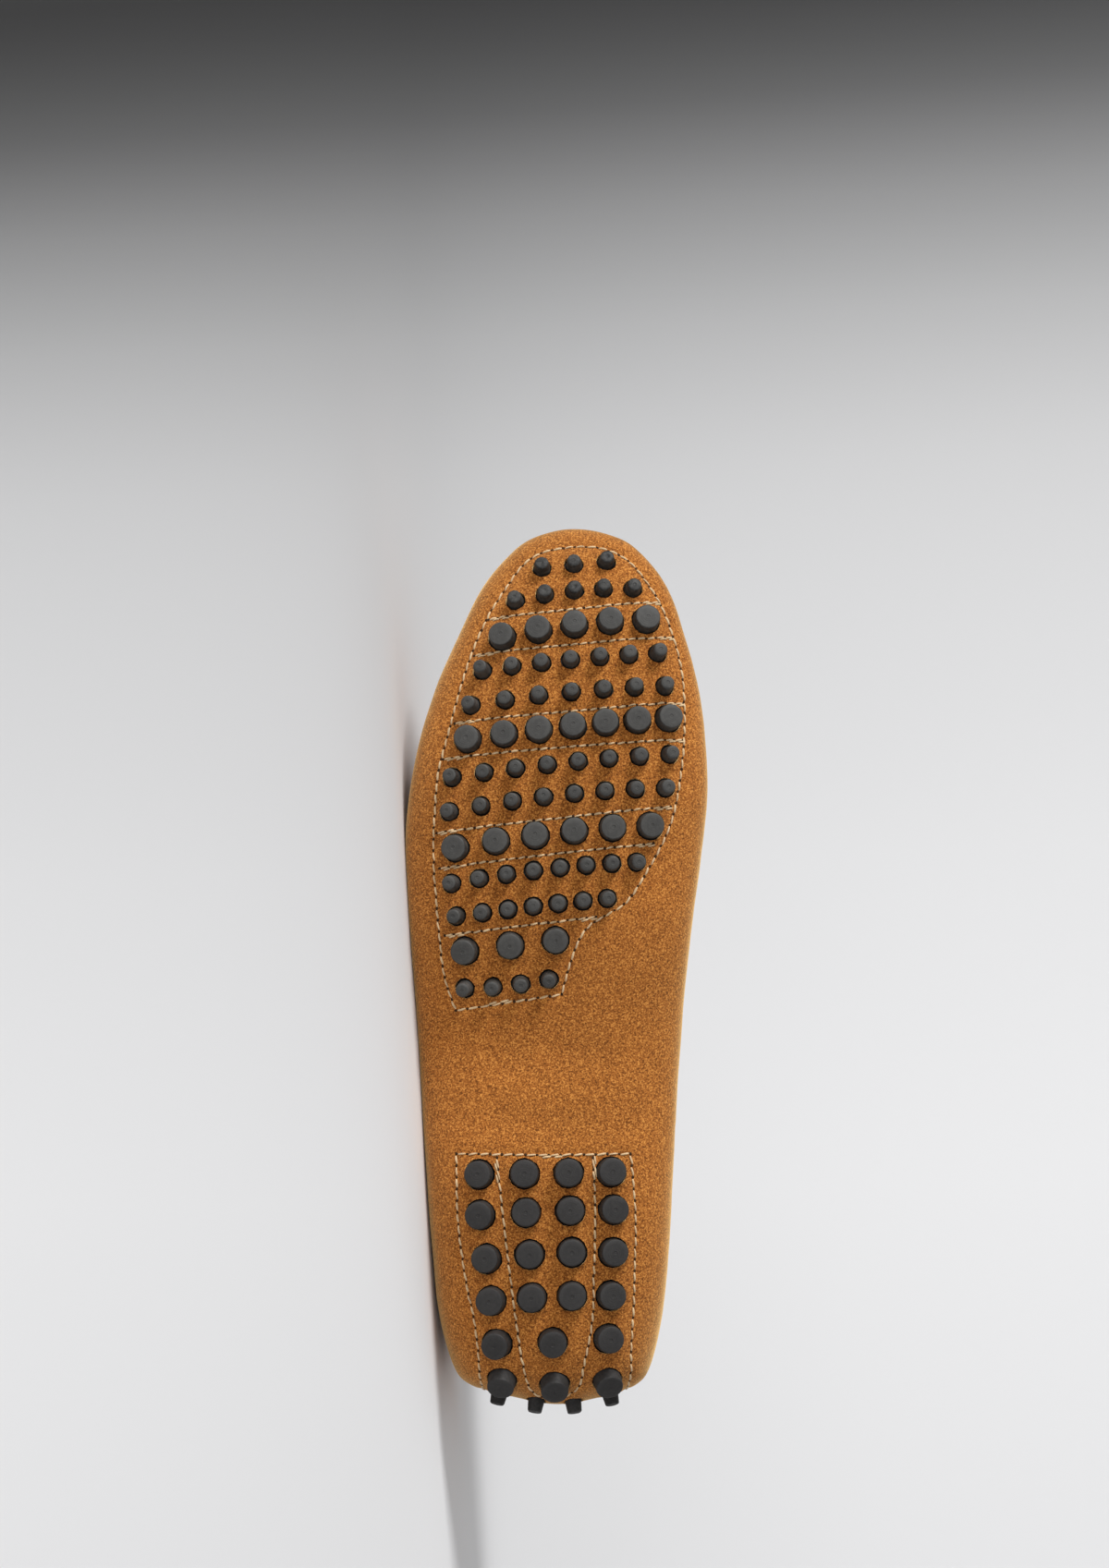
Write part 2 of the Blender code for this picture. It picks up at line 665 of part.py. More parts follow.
def resting_plane(things):
    """A point and the outward normal of the plane that the shoe rests on, lying on its outer side."""
    forms = [evaluated_form(thing) for thing in things]
    centre = centre_of_mass(forms)
    points = {tuple(vertex.co) for form in forms for vertex in form.verts}
    for form in forms:
        form.free()
    hull = bmesh.new()
    for point in sorted(points):
        hull.verts.new(point)
    bmesh.ops.convex_hull(hull, input=list(hull.verts))
    hull.normal_update()
    best = None
    for face in hull.faces:
        normal = face.normal
        if (face.calc_center_median() - centre).dot(normal) < 0:
            normal = -normal
        if normal.y > -OUTER_FACING:
            continue
        corner = face.verts[0].co
        drop = (corner - centre).dot(normal)
        foot = centre + drop * normal
        corners = [vertex.co for vertex in face.verts]
        turns = []
        for start, end in zip(corners, corners[1:] + corners[:1]):
            turns.append((end - start).cross(foot - start).dot(normal))
        if all(turn >= 0 for turn in turns) or all(turn <= 0 for turn in turns):
            if best is None or drop < best[0]:
                best = (drop, corner.copy(), normal.copy())
    return best[1], best[2]


def press_flat(mesh, point, normal):
    """Press the outer face flat where it reaches past a plane."""
    for vertex in mesh.vertices:
        past = (vertex.co - point).dot(normal)
        if past > 0:
            vertex.co = vertex.co - past * normal
    mesh.update()


def lying_matrix(point, normal, things):
    """Lay the shoe on a plane: toe to -X, sole to -Y, with the origin under the middle of its box."""
    up = -normal
    toe = Vector((1, 0, 0))
    left = -(toe - toe.dot(up) * up).normalized()
    depth = up.cross(left)
    turn = Matrix((left, depth, up)).to_4x4()
    lowest = (turn @ point).z
    corners = []
    for thing in things:
        form = evaluated_form(thing)
        corners += [turn @ vertex.co for vertex in form.verts]
        form.free()
    low = [min(corner[axis] for corner in corners) for axis in range(2)]
    high = [max(corner[axis] for corner in corners) for axis in range(2)]
    shift = Vector((-0.5 * (low[0] + high[0]), -0.5 * (low[1] + high[1]), -lowest))
    return Matrix.Translation(shift) @ turn


def build():
    """Build every piece and lay the shoe down."""
    clear_scene()
    suede = make_material("golden_tan_suede", SUEDE_COLOUR, 0.95)
    apron_suede = make_material("apron_suede", SUEDE_COLOUR, 0.95)
    forefoot_rubber = make_material("forefoot_rubber", RUBBER_COLOUR, 0.6)
    heel_rubber = make_material("heel_rubber", RUBBER_COLOUR, 0.6)
    leather = make_material("insole_leather", LEATHER_COLOUR, 0.6)

    stations, throat_outer, throat_inner = make_stations()
    shell = make_shell("upper", stations)
    last = Last(shell)
    upper = add_object("upper", shell, suede)
    wall = upper.modifiers.new("wall", "SOLIDIFY")
    wall.thickness = SUEDE_WALL
    wall.offset = -1
    wall.use_even_offset = True
    wall.use_quality_normals = True

    pad_depth = SUEDE_WALL + FIT_GAP
    pads, tools = [], []
    for name, sheet_rows, peg_rows, rubber in (
            ("forefoot_pad", FOREFOOT_SHEET, FOREFOOT_PEGS, forefoot_rubber),
            ("heel_pad", HEEL_SHEET, HEEL_PEGS, heel_rubber)):
        sheet = make_sheet(name, last, sheet_rows, PAD_COLUMNS, pad_depth, PAD_WALL)
        pad = add_object(name, sheet, rubber)
        pads.append(pad)
        for turn, places in enumerate(peg_places(last, peg_rows)):
            for target, kind, maker, operation in (
                    (pad, "pegs", make_pegs, "UNION"),
                    (upper, "holes", make_holes, "DIFFERENCE")):
                tool_name = f"{name}_{kind}_{turn}"
                tool = add_object(tool_name, maker(tool_name, places))
                make_cutter(tool)
                add_boolean(target, tool, operation)
                tools.append(tool)

    insole_depth = pad_depth + PAD_WALL + INSOLE_GAP
    insole_mesh = make_sheet("insole", last, INSOLE_SHEET, INSOLE_COLUMNS, insole_depth, INSOLE_WALL)
    insole = add_object("insole", insole_mesh, leather)

    apron_mesh = make_apron("apron", stations, throat_outer, throat_inner)
    apron = add_object("apron", apron_mesh, apron_suede)
    thickness = apron.modifiers.new("wall", "SOLIDIFY")
    thickness.thickness = APRON_WALL
    thickness.offset = -1
    thickness.use_even_offset = True
    thickness.use_quality_normals = True

    pieces = [upper, apron, insole] + pads
    point, normal = resting_plane(pieces)
    pressed = point - PRESS_DEPTH * normal
    press_flat(shell, pressed, normal)
    lying = bpy.data.objects.new("lying", None)
    bpy.context.scene.collection.objects.link(lying)
    lying.matrix_world = lying_matrix(pressed, normal, pieces)
    for thing in pieces + tools:
        thing.parent = lying


build()
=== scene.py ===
"""The looks of a driving moccasin for the right foot, lying on its outer side.

The shoe is worked out standing: toe to +X, inner side to +Y, top to +Z, with the back of the heel at
X = 0 and the ground at Z = 0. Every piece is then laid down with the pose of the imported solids. All
lengths are in metres, and shares are of the named size that they follow.
"""

import logging
import math
import random
from dataclasses import dataclass
from enum import Enum, IntEnum
from typing import Callable, Iterable, NamedTuple

import bmesh
import bpy
import numpy as np
from mathutils import Matrix, Vector, noise
from mathutils.bvhtree import BVHTree
from mathutils.kdtree import KDTree


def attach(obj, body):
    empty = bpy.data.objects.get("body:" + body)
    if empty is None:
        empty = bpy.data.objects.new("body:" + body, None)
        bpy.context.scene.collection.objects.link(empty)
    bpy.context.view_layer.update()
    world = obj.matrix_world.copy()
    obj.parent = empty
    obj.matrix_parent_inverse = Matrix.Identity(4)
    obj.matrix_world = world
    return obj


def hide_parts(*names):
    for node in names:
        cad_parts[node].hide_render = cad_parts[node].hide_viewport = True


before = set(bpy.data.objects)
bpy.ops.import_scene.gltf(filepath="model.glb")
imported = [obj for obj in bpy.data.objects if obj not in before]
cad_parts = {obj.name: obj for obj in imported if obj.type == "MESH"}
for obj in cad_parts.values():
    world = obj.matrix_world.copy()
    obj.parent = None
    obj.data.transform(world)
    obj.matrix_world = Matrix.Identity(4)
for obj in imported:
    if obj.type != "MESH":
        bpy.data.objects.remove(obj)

LOG = logging.getLogger("moccasin")
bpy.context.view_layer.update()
BODY = "root"


class Slot(Enum):
    """The record's material slots."""

    SUEDE = "suede"
    RUBBER = "rubber"
    LEATHER = "insole_leather"


class Side(Enum):
    """The two sides of a foot."""

    OUTER = -1
    INNER = 1


@dataclass(frozen=True)
class ShoeSizes:
    """The driving dimensions of the last, its walls and its clearances."""

    length: float = 0.290
    ball_width: float = 0.0983
    instep_height: float = 0.061
    heel_height: float = 0.062
    edge_height: float = 0.016
    toe_spring: float = 0.018
    arch_rise: float = 0.0045
    suede_wall: float = 0.0018
    apron_wall: float = 0.0016
    seam_lip: float = 0.0034
    collar_edge: float = 0.0015
    fit_gap: float = 0.0003
    pad_wall: float = 0.0018
    insole_gap: float = 0.0006
    insole_wall: float = 0.003
    spring_start: float = 0.546
    spring_power: float = 2.2
    arch_start: float = 0.238
    arch_end: float = 0.556
    heel_centre: float = 0.129
    toe_centre: float = 0.775
    swing_height: float = 0.035
    cast_height: float = 0.011
    bottom_power: float = 2.6

    def rocker(self, along: np.ndarray) -> np.ndarray:
        """Height of the middle of the bottom above the ground.

        Args:
            along: distances from the back of the heel.

        Returns:
            The height at each distance.
        """
        share = np.asarray(along, float) / self.length
        spring = np.clip((share - self.spring_start) / (1 - self.spring_start), 0, None)
        phase = np.clip((share - self.arch_start) / (self.arch_end - self.arch_start), 0, 1)
        return self.toe_spring * spring ** self.spring_power + self.arch_rise * np.sin(math.pi * phase) ** 2


SIZES = ShoeSizes()


class Section(NamedTuple):
    """One section round the last, in the shares that the sizes' names give."""

    along: float
    outer: float
    inner: float
    edge: float
    rim_along: float
    rim_outer: float
    rim_inner: float
    rim_heel: float
    rim_instep: float
    curl: float
    lip: float


SECTIONS = (
    Section(0.000, 0.000, 0.000, 1.50, 0.030, 0.000, 0.000, 1.00, 0.00, 0.10, 0.0),
    Section(0.009, 0.158, 0.155, 1.47, 0.032, 0.092, 0.092, 1.00, 0.00, 0.10, 0.0),
    Section(0.022, 0.290, 0.262, 1.42, 0.041, 0.180, 0.172, 0.99, 0.00, 0.10, 0.0),
    Section(0.045, 0.348, 0.312, 1.35, 0.063, 0.248, 0.232, 0.97, 0.00, 0.10, 0.0),
    Section(0.103, 0.394, 0.351, 1.22, 0.111, 0.300, 0.280, 0.92, 0.00, 0.12, 0.0),
    Section(0.183, 0.420, 0.374, 1.10, 0.189, 0.328, 0.304, 0.70, 0.14, 0.15, 0.0),
    Section(0.283, 0.442, 0.391, 1.04, 0.283, 0.338, 0.315, 0.35, 0.45, 0.20, 0.0),
    Section(0.382, 0.464, 0.408, 1.00, 0.377, 0.330, 0.311, 0.10, 0.71, 0.30, 0.0),
    Section(0.472, 0.483, 0.430, 1.00, 0.459, 0.305, 0.290, 0.00, 0.90, 0.45, 0.0),
    Section(0.551, 0.501, 0.454, 0.97, 0.526, 0.272, 0.262, 0.00, 1.00, 0.75, 0.2),
    Section(0.626, 0.511, 0.483, 0.94, 0.604, 0.268, 0.264, 0.00, 0.92, 0.95, 1.0),
    Section(0.695, 0.494, 0.504, 0.90, 0.675, 0.276, 0.284, 0.00, 0.82, 1.00, 1.0),
    Section(0.760, 0.457, 0.497, 0.86, 0.740, 0.272, 0.295, 0.00, 0.755, 1.00, 1.0),
    Section(0.819, 0.402, 0.472, 0.80, 0.797, 0.250, 0.290, 0.00, 0.715, 1.00, 1.0),
    Section(0.874, 0.332, 0.430, 0.76, 0.846, 0.206, 0.264, 0.00, 0.695, 1.00, 1.0),
    Section(0.927, 0.258, 0.376, 0.73, 0.889, 0.146, 0.224, 0.00, 0.688, 1.00, 1.0),
    Section(0.965, 0.173, 0.300, 0.71, 0.917, 0.076, 0.170, 0.00, 0.688, 1.00, 1.0),
    Section(0.989, 0.081, 0.209, 0.70, 0.933, 0.014, 0.108, 0.00, 0.690, 1.00, 1.0),
    Section(1.000, -0.059, 0.059, 0.70, 0.938, -0.046, 0.046, 0.00, 0.692, 1.00, 1.0),
)
THROAT = 9


class PegKind(Enum):
    """The pegs' sizes: root radius, tip radius, height above the suede and rounding of the tip."""

    SMALL = (0.0030, 0.0023, 0.0047, 0.0006)
    BROAD = (0.0045, 0.0041, 0.0042, 0.0005)
    HEEL = (0.00485, 0.00445, 0.0042, 0.0004)

    @property
    def root(self) -> float:
        """Radius at the suede."""
        return self.value[0]

    @property
    def tip(self) -> float:
        """Radius at the tip."""
        return self.value[1]

    @property
    def height(self) -> float:
        """Height above the suede."""
        return self.value[2]

    @property
    def rounding(self) -> float:
        """Rounding of the tip's edge."""
        return self.value[3]


class PegRow(NamedTuple):
    """A row of pegs: along in shares of the length, across in shares of the ball's width."""

    kind: PegKind
    count: int
    outer_along: float
    outer_across: float
    inner_along: float
    inner_across: float
    bow: float = 0.0
    slide: float = 0.0
    swing: float = 0


SMALL, BROAD, HEEL = PegKind.SMALL, PegKind.BROAD, PegKind.HEEL
FOREFOOT_PEGS = (
    PegRow(SMALL, 3, 0.950, -0.051, 0.958, 0.165),
    PegRow(SMALL, 5, 0.912, -0.140, 0.926, 0.254, 0.004, 0.000),
    PegRow(BROAD, 5, 0.869, -0.183, 0.889, 0.297, 0.004, 0.000),
    PegRow(SMALL, 7, 0.831, -0.249, 0.851, 0.335, 0.002, 0.002),
    PegRow(SMALL, 7, 0.791, -0.288, 0.813, 0.359, 0.004, 0.012),
    PegRow(BROAD, 7, 0.752, -0.297, 0.776, 0.370, 0.003, 0.015),
    PegRow(SMALL, 8, 0.709, -0.350, 0.735, 0.374, 0.003, 0.006),
    PegRow(SMALL, 8, 0.670, -0.358, 0.697, 0.360, 0.005, 0.005),
    PegRow(BROAD, 6, 0.629, -0.338, 0.654, 0.308, 0.004, 0.007),
    PegRow(SMALL, 8, 0.589, -0.351, 0.613, 0.264, 0.004, 0.009),
    PegRow(SMALL, 7, 0.552, -0.335, 0.572, 0.166, 0.001, 0.005),
    PegRow(BROAD, 3, 0.513, -0.306, 0.525, -0.006),
    PegRow(SMALL, 4, 0.471, -0.306, 0.481, -0.028, -0.002, 0.000),
)
HEEL_PEGS = (
    PegRow(HEEL, 4, 0.262, -0.258, 0.265, 0.178, 0.000, 0.005),
    PegRow(HEEL, 4, 0.217, -0.254, 0.223, 0.185, 0.001, 0.005),
    PegRow(HEEL, 4, 0.168, -0.233, 0.175, 0.184, 0.003, 0.003),
    PegRow(HEEL, 4, 0.121, -0.218, 0.127, 0.177, 0.002, 0.003),
    PegRow(HEEL, 3, 0.073, -0.199, 0.079, 0.168, -0.001, 0.000),
    PegRow(HEEL, 3, 0.129, -0.183, 0.129, 0.166, 0.000, 0.000, 46),
    PegRow(SMALL, 4, 0.129, -0.193, 0.129, 0.176, 0.000, 0.000, 61),
    PegRow(SMALL, 4, 0.129, -0.193, 0.129, 0.176, 0.000, 0.000, 76),
    PegRow(SMALL, 2, 0.129, -0.070, 0.129, 0.053, 0.000, 0.000, 91),
)


class SheetRow(NamedTuple):
    """A row across a sheet inside the shoe, from its outer to its inner edge."""

    along: float
    outer: float
    inner: float
    swing: float = 0


FOREFOOT_SHEET = (
    SheetRow(0.964, -0.066, 0.202),
    SheetRow(0.934, -0.140, 0.275),
    SheetRow(0.894, -0.215, 0.345),
    SheetRow(0.854, -0.270, 0.385),
    SheetRow(0.795, -0.335, 0.412),
    SheetRow(0.735, -0.380, 0.415),
    SheetRow(0.685, -0.400, 0.400),
    SheetRow(0.636, -0.400, 0.355),
    SheetRow(0.596, -0.395, 0.310),
    SheetRow(0.566, -0.390, 0.235),
    SheetRow(0.541, -0.385, 0.110),
    SheetRow(0.507, -0.378, 0.045),
    SheetRow(0.467, -0.365, 0.020),
    SheetRow(0.447, -0.350, 0.010),
)
HEEL_SHEET = (
    SheetRow(0.283, -0.330, 0.240),
    SheetRow(0.238, -0.328, 0.248),
    SheetRow(0.189, -0.318, 0.250),
    SheetRow(0.129, -0.300, 0.250),
    SheetRow(0.089, -0.285, 0.245),
    SheetRow(0.129, -0.270, 0.240, 25),
    SheetRow(0.129, -0.255, 0.235, 38),
    SheetRow(0.129, -0.240, 0.225, 50),
    SheetRow(0.129, -0.234, 0.218, 62),
    SheetRow(0.129, -0.230, 0.214, 77),
    SheetRow(0.129, -0.165, 0.150, 89),
    SheetRow(0.129, -0.125, 0.110, 99),
)
INSOLE_SHEET = (
    SheetRow(0.046, -0.150, 0.140),
    SheetRow(0.060, -0.235, 0.210),
    SheetRow(0.089, -0.285, 0.255),
    SheetRow(0.139, -0.312, 0.275),
    SheetRow(0.209, -0.325, 0.285),
    SheetRow(0.288, -0.335, 0.290),
    SheetRow(0.377, -0.350, 0.300),
    SheetRow(0.467, -0.375, 0.325),
    SheetRow(0.546, -0.395, 0.355),
    SheetRow(0.626, -0.405, 0.385),
    SheetRow(0.695, -0.390, 0.400),
    SheetRow(0.765, -0.350, 0.390),
    SheetRow(0.824, -0.290, 0.365),
    SheetRow(0.874, -0.225, 0.320),
    SheetRow(0.909, -0.160, 0.270),
    SheetRow(0.932, -0.080, 0.200),
)


@dataclass(frozen=True)
class Lying:
    """How the standing shoe is laid down: which of its directions points up, and where its heel goes."""

    up: tuple[float, float, float] = (0.061471, 0.992560, -0.105097)
    heel_place: tuple[float, float, float] = (0.14263, -0.032695, 0.039799)

    def matrix(self) -> Matrix:
        """The turn and shift from the standing shoe to the world."""
        up = Vector(self.up).normalized()
        toe = Vector((1, 0, 0))
        left = -(toe - toe.dot(up) * up).normalized()
        turn = Matrix((left, up.cross(left), up)).to_4x4()
        return Matrix.Translation(Vector(self.heel_place)) @ turn


LYING = Lying().matrix()


def deselect_all() -> None:
    """Leave object mode ready, with nothing selected."""
    if bpy.context.object and bpy.context.object.mode != "OBJECT":
        bpy.ops.object.mode_set(mode="OBJECT")
    bpy.ops.object.select_all(action="DESELECT")


def choose(piece: bpy.types.Object) -> None:
    """Make a piece the only one selected, and the active one."""
    deselect_all()
    piece.select_set(True)
    bpy.context.view_layer.objects.active = piece


def coordinates(piece: bpy.types.Object) -> np.ndarray:
    """The piece's vertices as an array of points."""
    points = np.empty(len(piece.data.vertices) * 3)
    piece.data.vertices.foreach_get("co", points)
    return points.reshape(-1, 3)


def move_to(piece: bpy.types.Object, points: np.ndarray) -> None:
    """Give the piece's vertices new places."""
    piece.data.vertices.foreach_set("co", np.asarray(points, float).ravel())
    piece.data.update()


def set_values(piece: bpy.types.Object, name: str, values: np.ndarray) -> None:
    """Store one number a vertex as an attribute of that name."""
    layer = piece.data.attributes.get(name) or piece.data.attributes.new(name, "FLOAT", "POINT")
    layer.data.foreach_set("value", np.asarray(values, np.float32))


def get_values(piece: bpy.types.Object, name: str) -> np.ndarray:
    """One number a vertex, from the attribute of that name."""
    values = np.empty(len(piece.data.vertices), np.float32)
    piece.data.attributes[name].data.foreach_get("value", values)
    return values


def edit(piece: bpy.types.Object, work: Callable[[], None]) -> None:
    """Do some work in edit mode with the whole mesh selected."""
    choose(piece)
    bpy.ops.object.mode_set(mode="EDIT")
    bpy.ops.mesh.select_all(action="SELECT")
    work()
    bpy.ops.object.mode_set(mode="OBJECT")


def apply_modifier(piece: bpy.types.Object, kind: str, **settings: object) -> None:
    """Add a modifier with some settings and apply it.

    Args:
        piece: the object to change.
        kind: the modifier's type.
        settings: the values to set on it.
    """
    choose(piece)
    modifier = piece.modifiers.new(kind.lower(), kind)
    for name, value in settings.items():
        setattr(modifier, name, value)
    bpy.ops.object.modifier_apply(modifier=modifier.name)


def smooth(piece: bpy.types.Object, angle: float = 40) -> None:
    """Shade a piece smooth where its faces meet at less than an angle in degrees."""
    choose(piece)
    bpy.ops.object.shade_smooth_by_angle(angle=math.radians(angle))


def laid_grid(name: str, columns: np.ndarray, materials: Iterable[bpy.types.Material] = (),
              closed: bool = False) -> bpy.types.Object:
    """Lay a flat grid over columns of points.

    Args:
        name: the piece's name.
        columns: points as an array of columns, places in a column and coordinates.
        materials: the piece's finishes, in the order of its slots.
        closed: whether the last column joins the first.

    Returns:
        The laid piece.
    """
    if closed:
        columns = np.concatenate([columns, columns[:1]])
    across, along = columns.shape[:2]
    deselect_all()
    bpy.ops.mesh.primitive_grid_add(x_subdivisions=along - 1, y_subdivisions=across - 1)
    piece = bpy.context.active_object
    piece.name = piece.data.name = name
    piece.data.uv_layers.remove(piece.data.uv_layers[0])
    for material in materials:
        piece.data.materials.append(material)
    move_to(piece, columns.reshape(-1, 3))
    return piece


def merge_doubles(piece: bpy.types.Object, distance: float = 0.00002) -> None:
    """Merge the vertices that lie on each other."""
    edit(piece, lambda: bpy.ops.mesh.remove_doubles(threshold=distance))


def even_points(points: np.ndarray, count: int) -> np.ndarray:
    """Points at even steps along a dense line of points."""
    steps = np.linalg.norm(np.diff(points, axis=0), axis=1)
    reach = np.concatenate([[0], np.cumsum(steps)])
    wanted = np.linspace(0, reach[-1], count)
    return np.stack([np.interp(wanted, reach, points[:, axis]) for axis in range(points.shape[1])], axis=1)


def catmull_rows(rows: np.ndarray, steps: Iterable[int], closed: bool) -> np.ndarray:
    """Smooth rows of numbers between the given ones.

    Args:
        rows: the rows to pass through.
        steps: how many parts each stretch between two rows gets.
        closed: whether the last row joins the first.

    Returns:
        The rows of the smooth curve.
    """
    count = len(rows)
    found = []
    for index, parts in enumerate(steps):
        if closed:
            four = [rows[(index + shift) % count] for shift in (-1, 0, 1, 2)]
        else:
            four = [rows[min(max(index + shift, 0), count - 1)] for shift in (-1, 0, 1, 2)]
        before, start, end, after = four
        for share in np.arange(parts) / parts:
            found.append(0.5 * (
                2 * start
                + (end - before) * share
                + (2 * before - 5 * start + 4 * end - after) * share ** 2
                + (3 * start - before - 3 * end + after) * share ** 3))
    if not closed:
        found.append(rows[-1])
    return np.array(found)


def smooth_step(value: np.ndarray) -> np.ndarray:
    """0 below 0, 1 above 1 and smooth between."""
    held = np.clip(value, 0, 1)
    return held * held * (3 - 2 * held)


class Station(IntEnum):
    """The columns of numbers that each station round the last has."""

    ALONG = 0
    ACROSS = 1
    EDGE = 2
    RIM_ALONG = 3
    RIM_ACROSS = 4
    RIM_HEEL = 5
    RIM_INSTEP = 6
    CURL = 7
    LIP = 8


def station_row(section: Section, side: Side) -> list[float]:
    """One side of a section, in the order of a station's columns."""
    across, rim = -section.outer, -section.rim_outer
    if side is Side.INNER:
        across, rim = section.inner, section.rim_inner
    return [
        section.along, across, section.edge, section.rim_along, rim, section.rim_heel, section.rim_instep,
        section.curl, section.lip]


@dataclass(frozen=True)
class LastGrid:
    """How finely the last is divided, and how its wall bends, in shares of the wall's rise and lean."""

    spacing: float = 0.00135
    rings: int = 72
    lip_steps: int = 3
    bottom_steps: int = 70
    wall_steps: int = 50
    wall_up: float = 0.55
    rim_drop: float = 0.45
    rim_lean: float = 0.25
    curl_lean: float = 0.62


class Last:
    """The form of the shoe's outer face, worked out from the sections."""

    def __init__(self, sizes: ShoeSizes) -> None:
        """Work out the stations all round: outer side to the toe, then the inner side back."""
        self.sizes = sizes
        self.grid = LastGrid()
        outer = np.array([station_row(section, Side.OUTER) for section in SECTIONS])
        inner = np.array([station_row(section, Side.INNER) for section in SECTIONS])
        loop = np.concatenate([outer, inner[-2:0:-1]])
        scale = np.array([sizes.length, sizes.ball_width])
        gaps = np.linalg.norm((np.roll(loop, -1, axis=0) - loop)[:, :2] * scale, axis=1)
        steps = np.maximum(2, np.ceil(gaps / self.grid.spacing)).astype(int)
        half = len(SECTIONS) - 1
        steps[half:] = steps[:half][::-1]
        self.stations = catmull_rows(loop, steps, closed=True)
        self.toe_index = int(steps[:half].sum())
        self.throat_index = int(steps[:THROAT].sum())
        count = len(self.stations)
        mirror = self.stations[(count - np.arange(count)) % count]
        self.middle_along = self.stations[:self.toe_index, Station.ALONG]
        across = self.stations[:, Station.ACROSS] + mirror[:, Station.ACROSS]
        self.middle_across = 0.5 * across[:self.toe_index]
        self.rims = self.rim_points()
        self.columns = np.array([self.profile(row, rim) for row, rim in zip(self.stations, self.rims)])

    def rim_points(self) -> np.ndarray:
        """The rim's point at each station."""
        sizes = self.sizes
        rows = self.stations
        heel_part, instep_part = rows[:, Station.RIM_HEEL], rows[:, Station.RIM_INSTEP]
        return np.column_stack([
            rows[:, Station.RIM_ALONG] * sizes.length, rows[:, Station.RIM_ACROSS] * sizes.ball_width,
            heel_part * sizes.heel_height + instep_part * sizes.instep_height])

    def lip_height(self, row: np.ndarray) -> float:
        """How far the edge stands up past the rim at a station."""
        share = float(np.clip(row[Station.LIP], 0, 1))
        return self.sizes.collar_edge + share * (self.sizes.seam_lip - self.sizes.collar_edge)

    def profile(self, row: np.ndarray, rim: np.ndarray) -> np.ndarray:
        """A station's points from the middle of the bottom to the edge, evenly spaced."""
        sizes, grid = self.sizes, self.grid
        along, across, edge = row[Station.ALONG], row[Station.ACROSS], row[Station.EDGE]
        held = float(np.clip(along, sizes.heel_centre, sizes.toe_centre))
        foot_y = np.interp(held, self.middle_along, self.middle_across) * sizes.ball_width
        foot = np.array([held * sizes.length, foot_y, float(sizes.rocker(held * sizes.length))])
        base = float(sizes.rocker(along * sizes.length))
        wide = np.array([along * sizes.length, across * sizes.ball_width, base + edge * sizes.edge_height])
        turn = np.radians(np.linspace(0, 90, grid.bottom_steps))[:, None]
        power = 2 / sizes.bottom_power
        out = np.sin(turn) ** power
        lift = 1 - np.clip(np.cos(turn), 0, 1) ** power
        bottom = foot + out * (wide - foot)
        bottom[:, 2] = sizes.rocker(bottom[:, 0]) + lift[:, 0] * (wide[2] - base)
        rise = rim[2] - wide[2]
        inward = np.array([rim[0] - wide[0], rim[1] - wide[1], 0.0])
        first = wide + np.array([0, 0, grid.wall_up * rise])
        straight = rim - np.array([0, 0, grid.rim_drop * rise]) - grid.rim_lean * inward
        curled = rim - grid.curl_lean * inward
        curl = float(np.clip(row[Station.CURL], 0, 1))
        second = straight + curl * (curled - straight)
        share = np.linspace(0, 1, grid.wall_steps)[1:, None]
        back = 1 - share
        wall = (
            back ** 3 * wide + 3 * back ** 2 * share * first
            + 3 * back * share ** 2 * second + share ** 3 * rim)
        even = even_points(np.concatenate([bottom, wall]), grid.rings)
        steps = np.arange(1, grid.lip_steps + 1)[:, None] / grid.lip_steps
        lip = rim + steps * np.array([0, 0, self.lip_height(row)])
        return np.concatenate([even, lip])

    def at(self, side: Side, along: float, up: float) -> np.ndarray:
        """A place on one side: along as a share of the length, up from the middle (0) to the rim (1)."""
        half = slice(0, self.toe_index + 1) if side is Side.OUTER else slice(self.toe_index, None)
        index = half.start + int(np.argmin(np.abs(self.stations[half, Station.ALONG] - along)))
        return self.columns[index, int(round(up * (self.grid.rings - 1)))]

    def under_rim(self, depth: float) -> np.ndarray:
        """The place on every column that lies this far down from the rim's edge."""
        found = []
        for column in self.columns[:, ::-1]:
            reach = np.concatenate([[0], np.cumsum(np.linalg.norm(np.diff(column, axis=0), axis=1))])
            found.append([np.interp(depth, reach, column[:, axis]) for axis in range(3)])
        return np.array(found)

    def collar(self, depth: float) -> np.ndarray:
        """A line round the collar from throat to throat, this far under its edge."""
        line = self.under_rim(depth)
        first = self.throat_index
        final = 2 * self.toe_index - first
        return np.concatenate([line[final:], line[:first + 1]])

    def rim_reach(self) -> np.ndarray:
        """The distance along the rim to each station, from the back of the heel."""
        steps = np.linalg.norm(np.diff(self.rims, axis=0), axis=1)
        return np.concatenate([[0], np.cumsum(steps)])


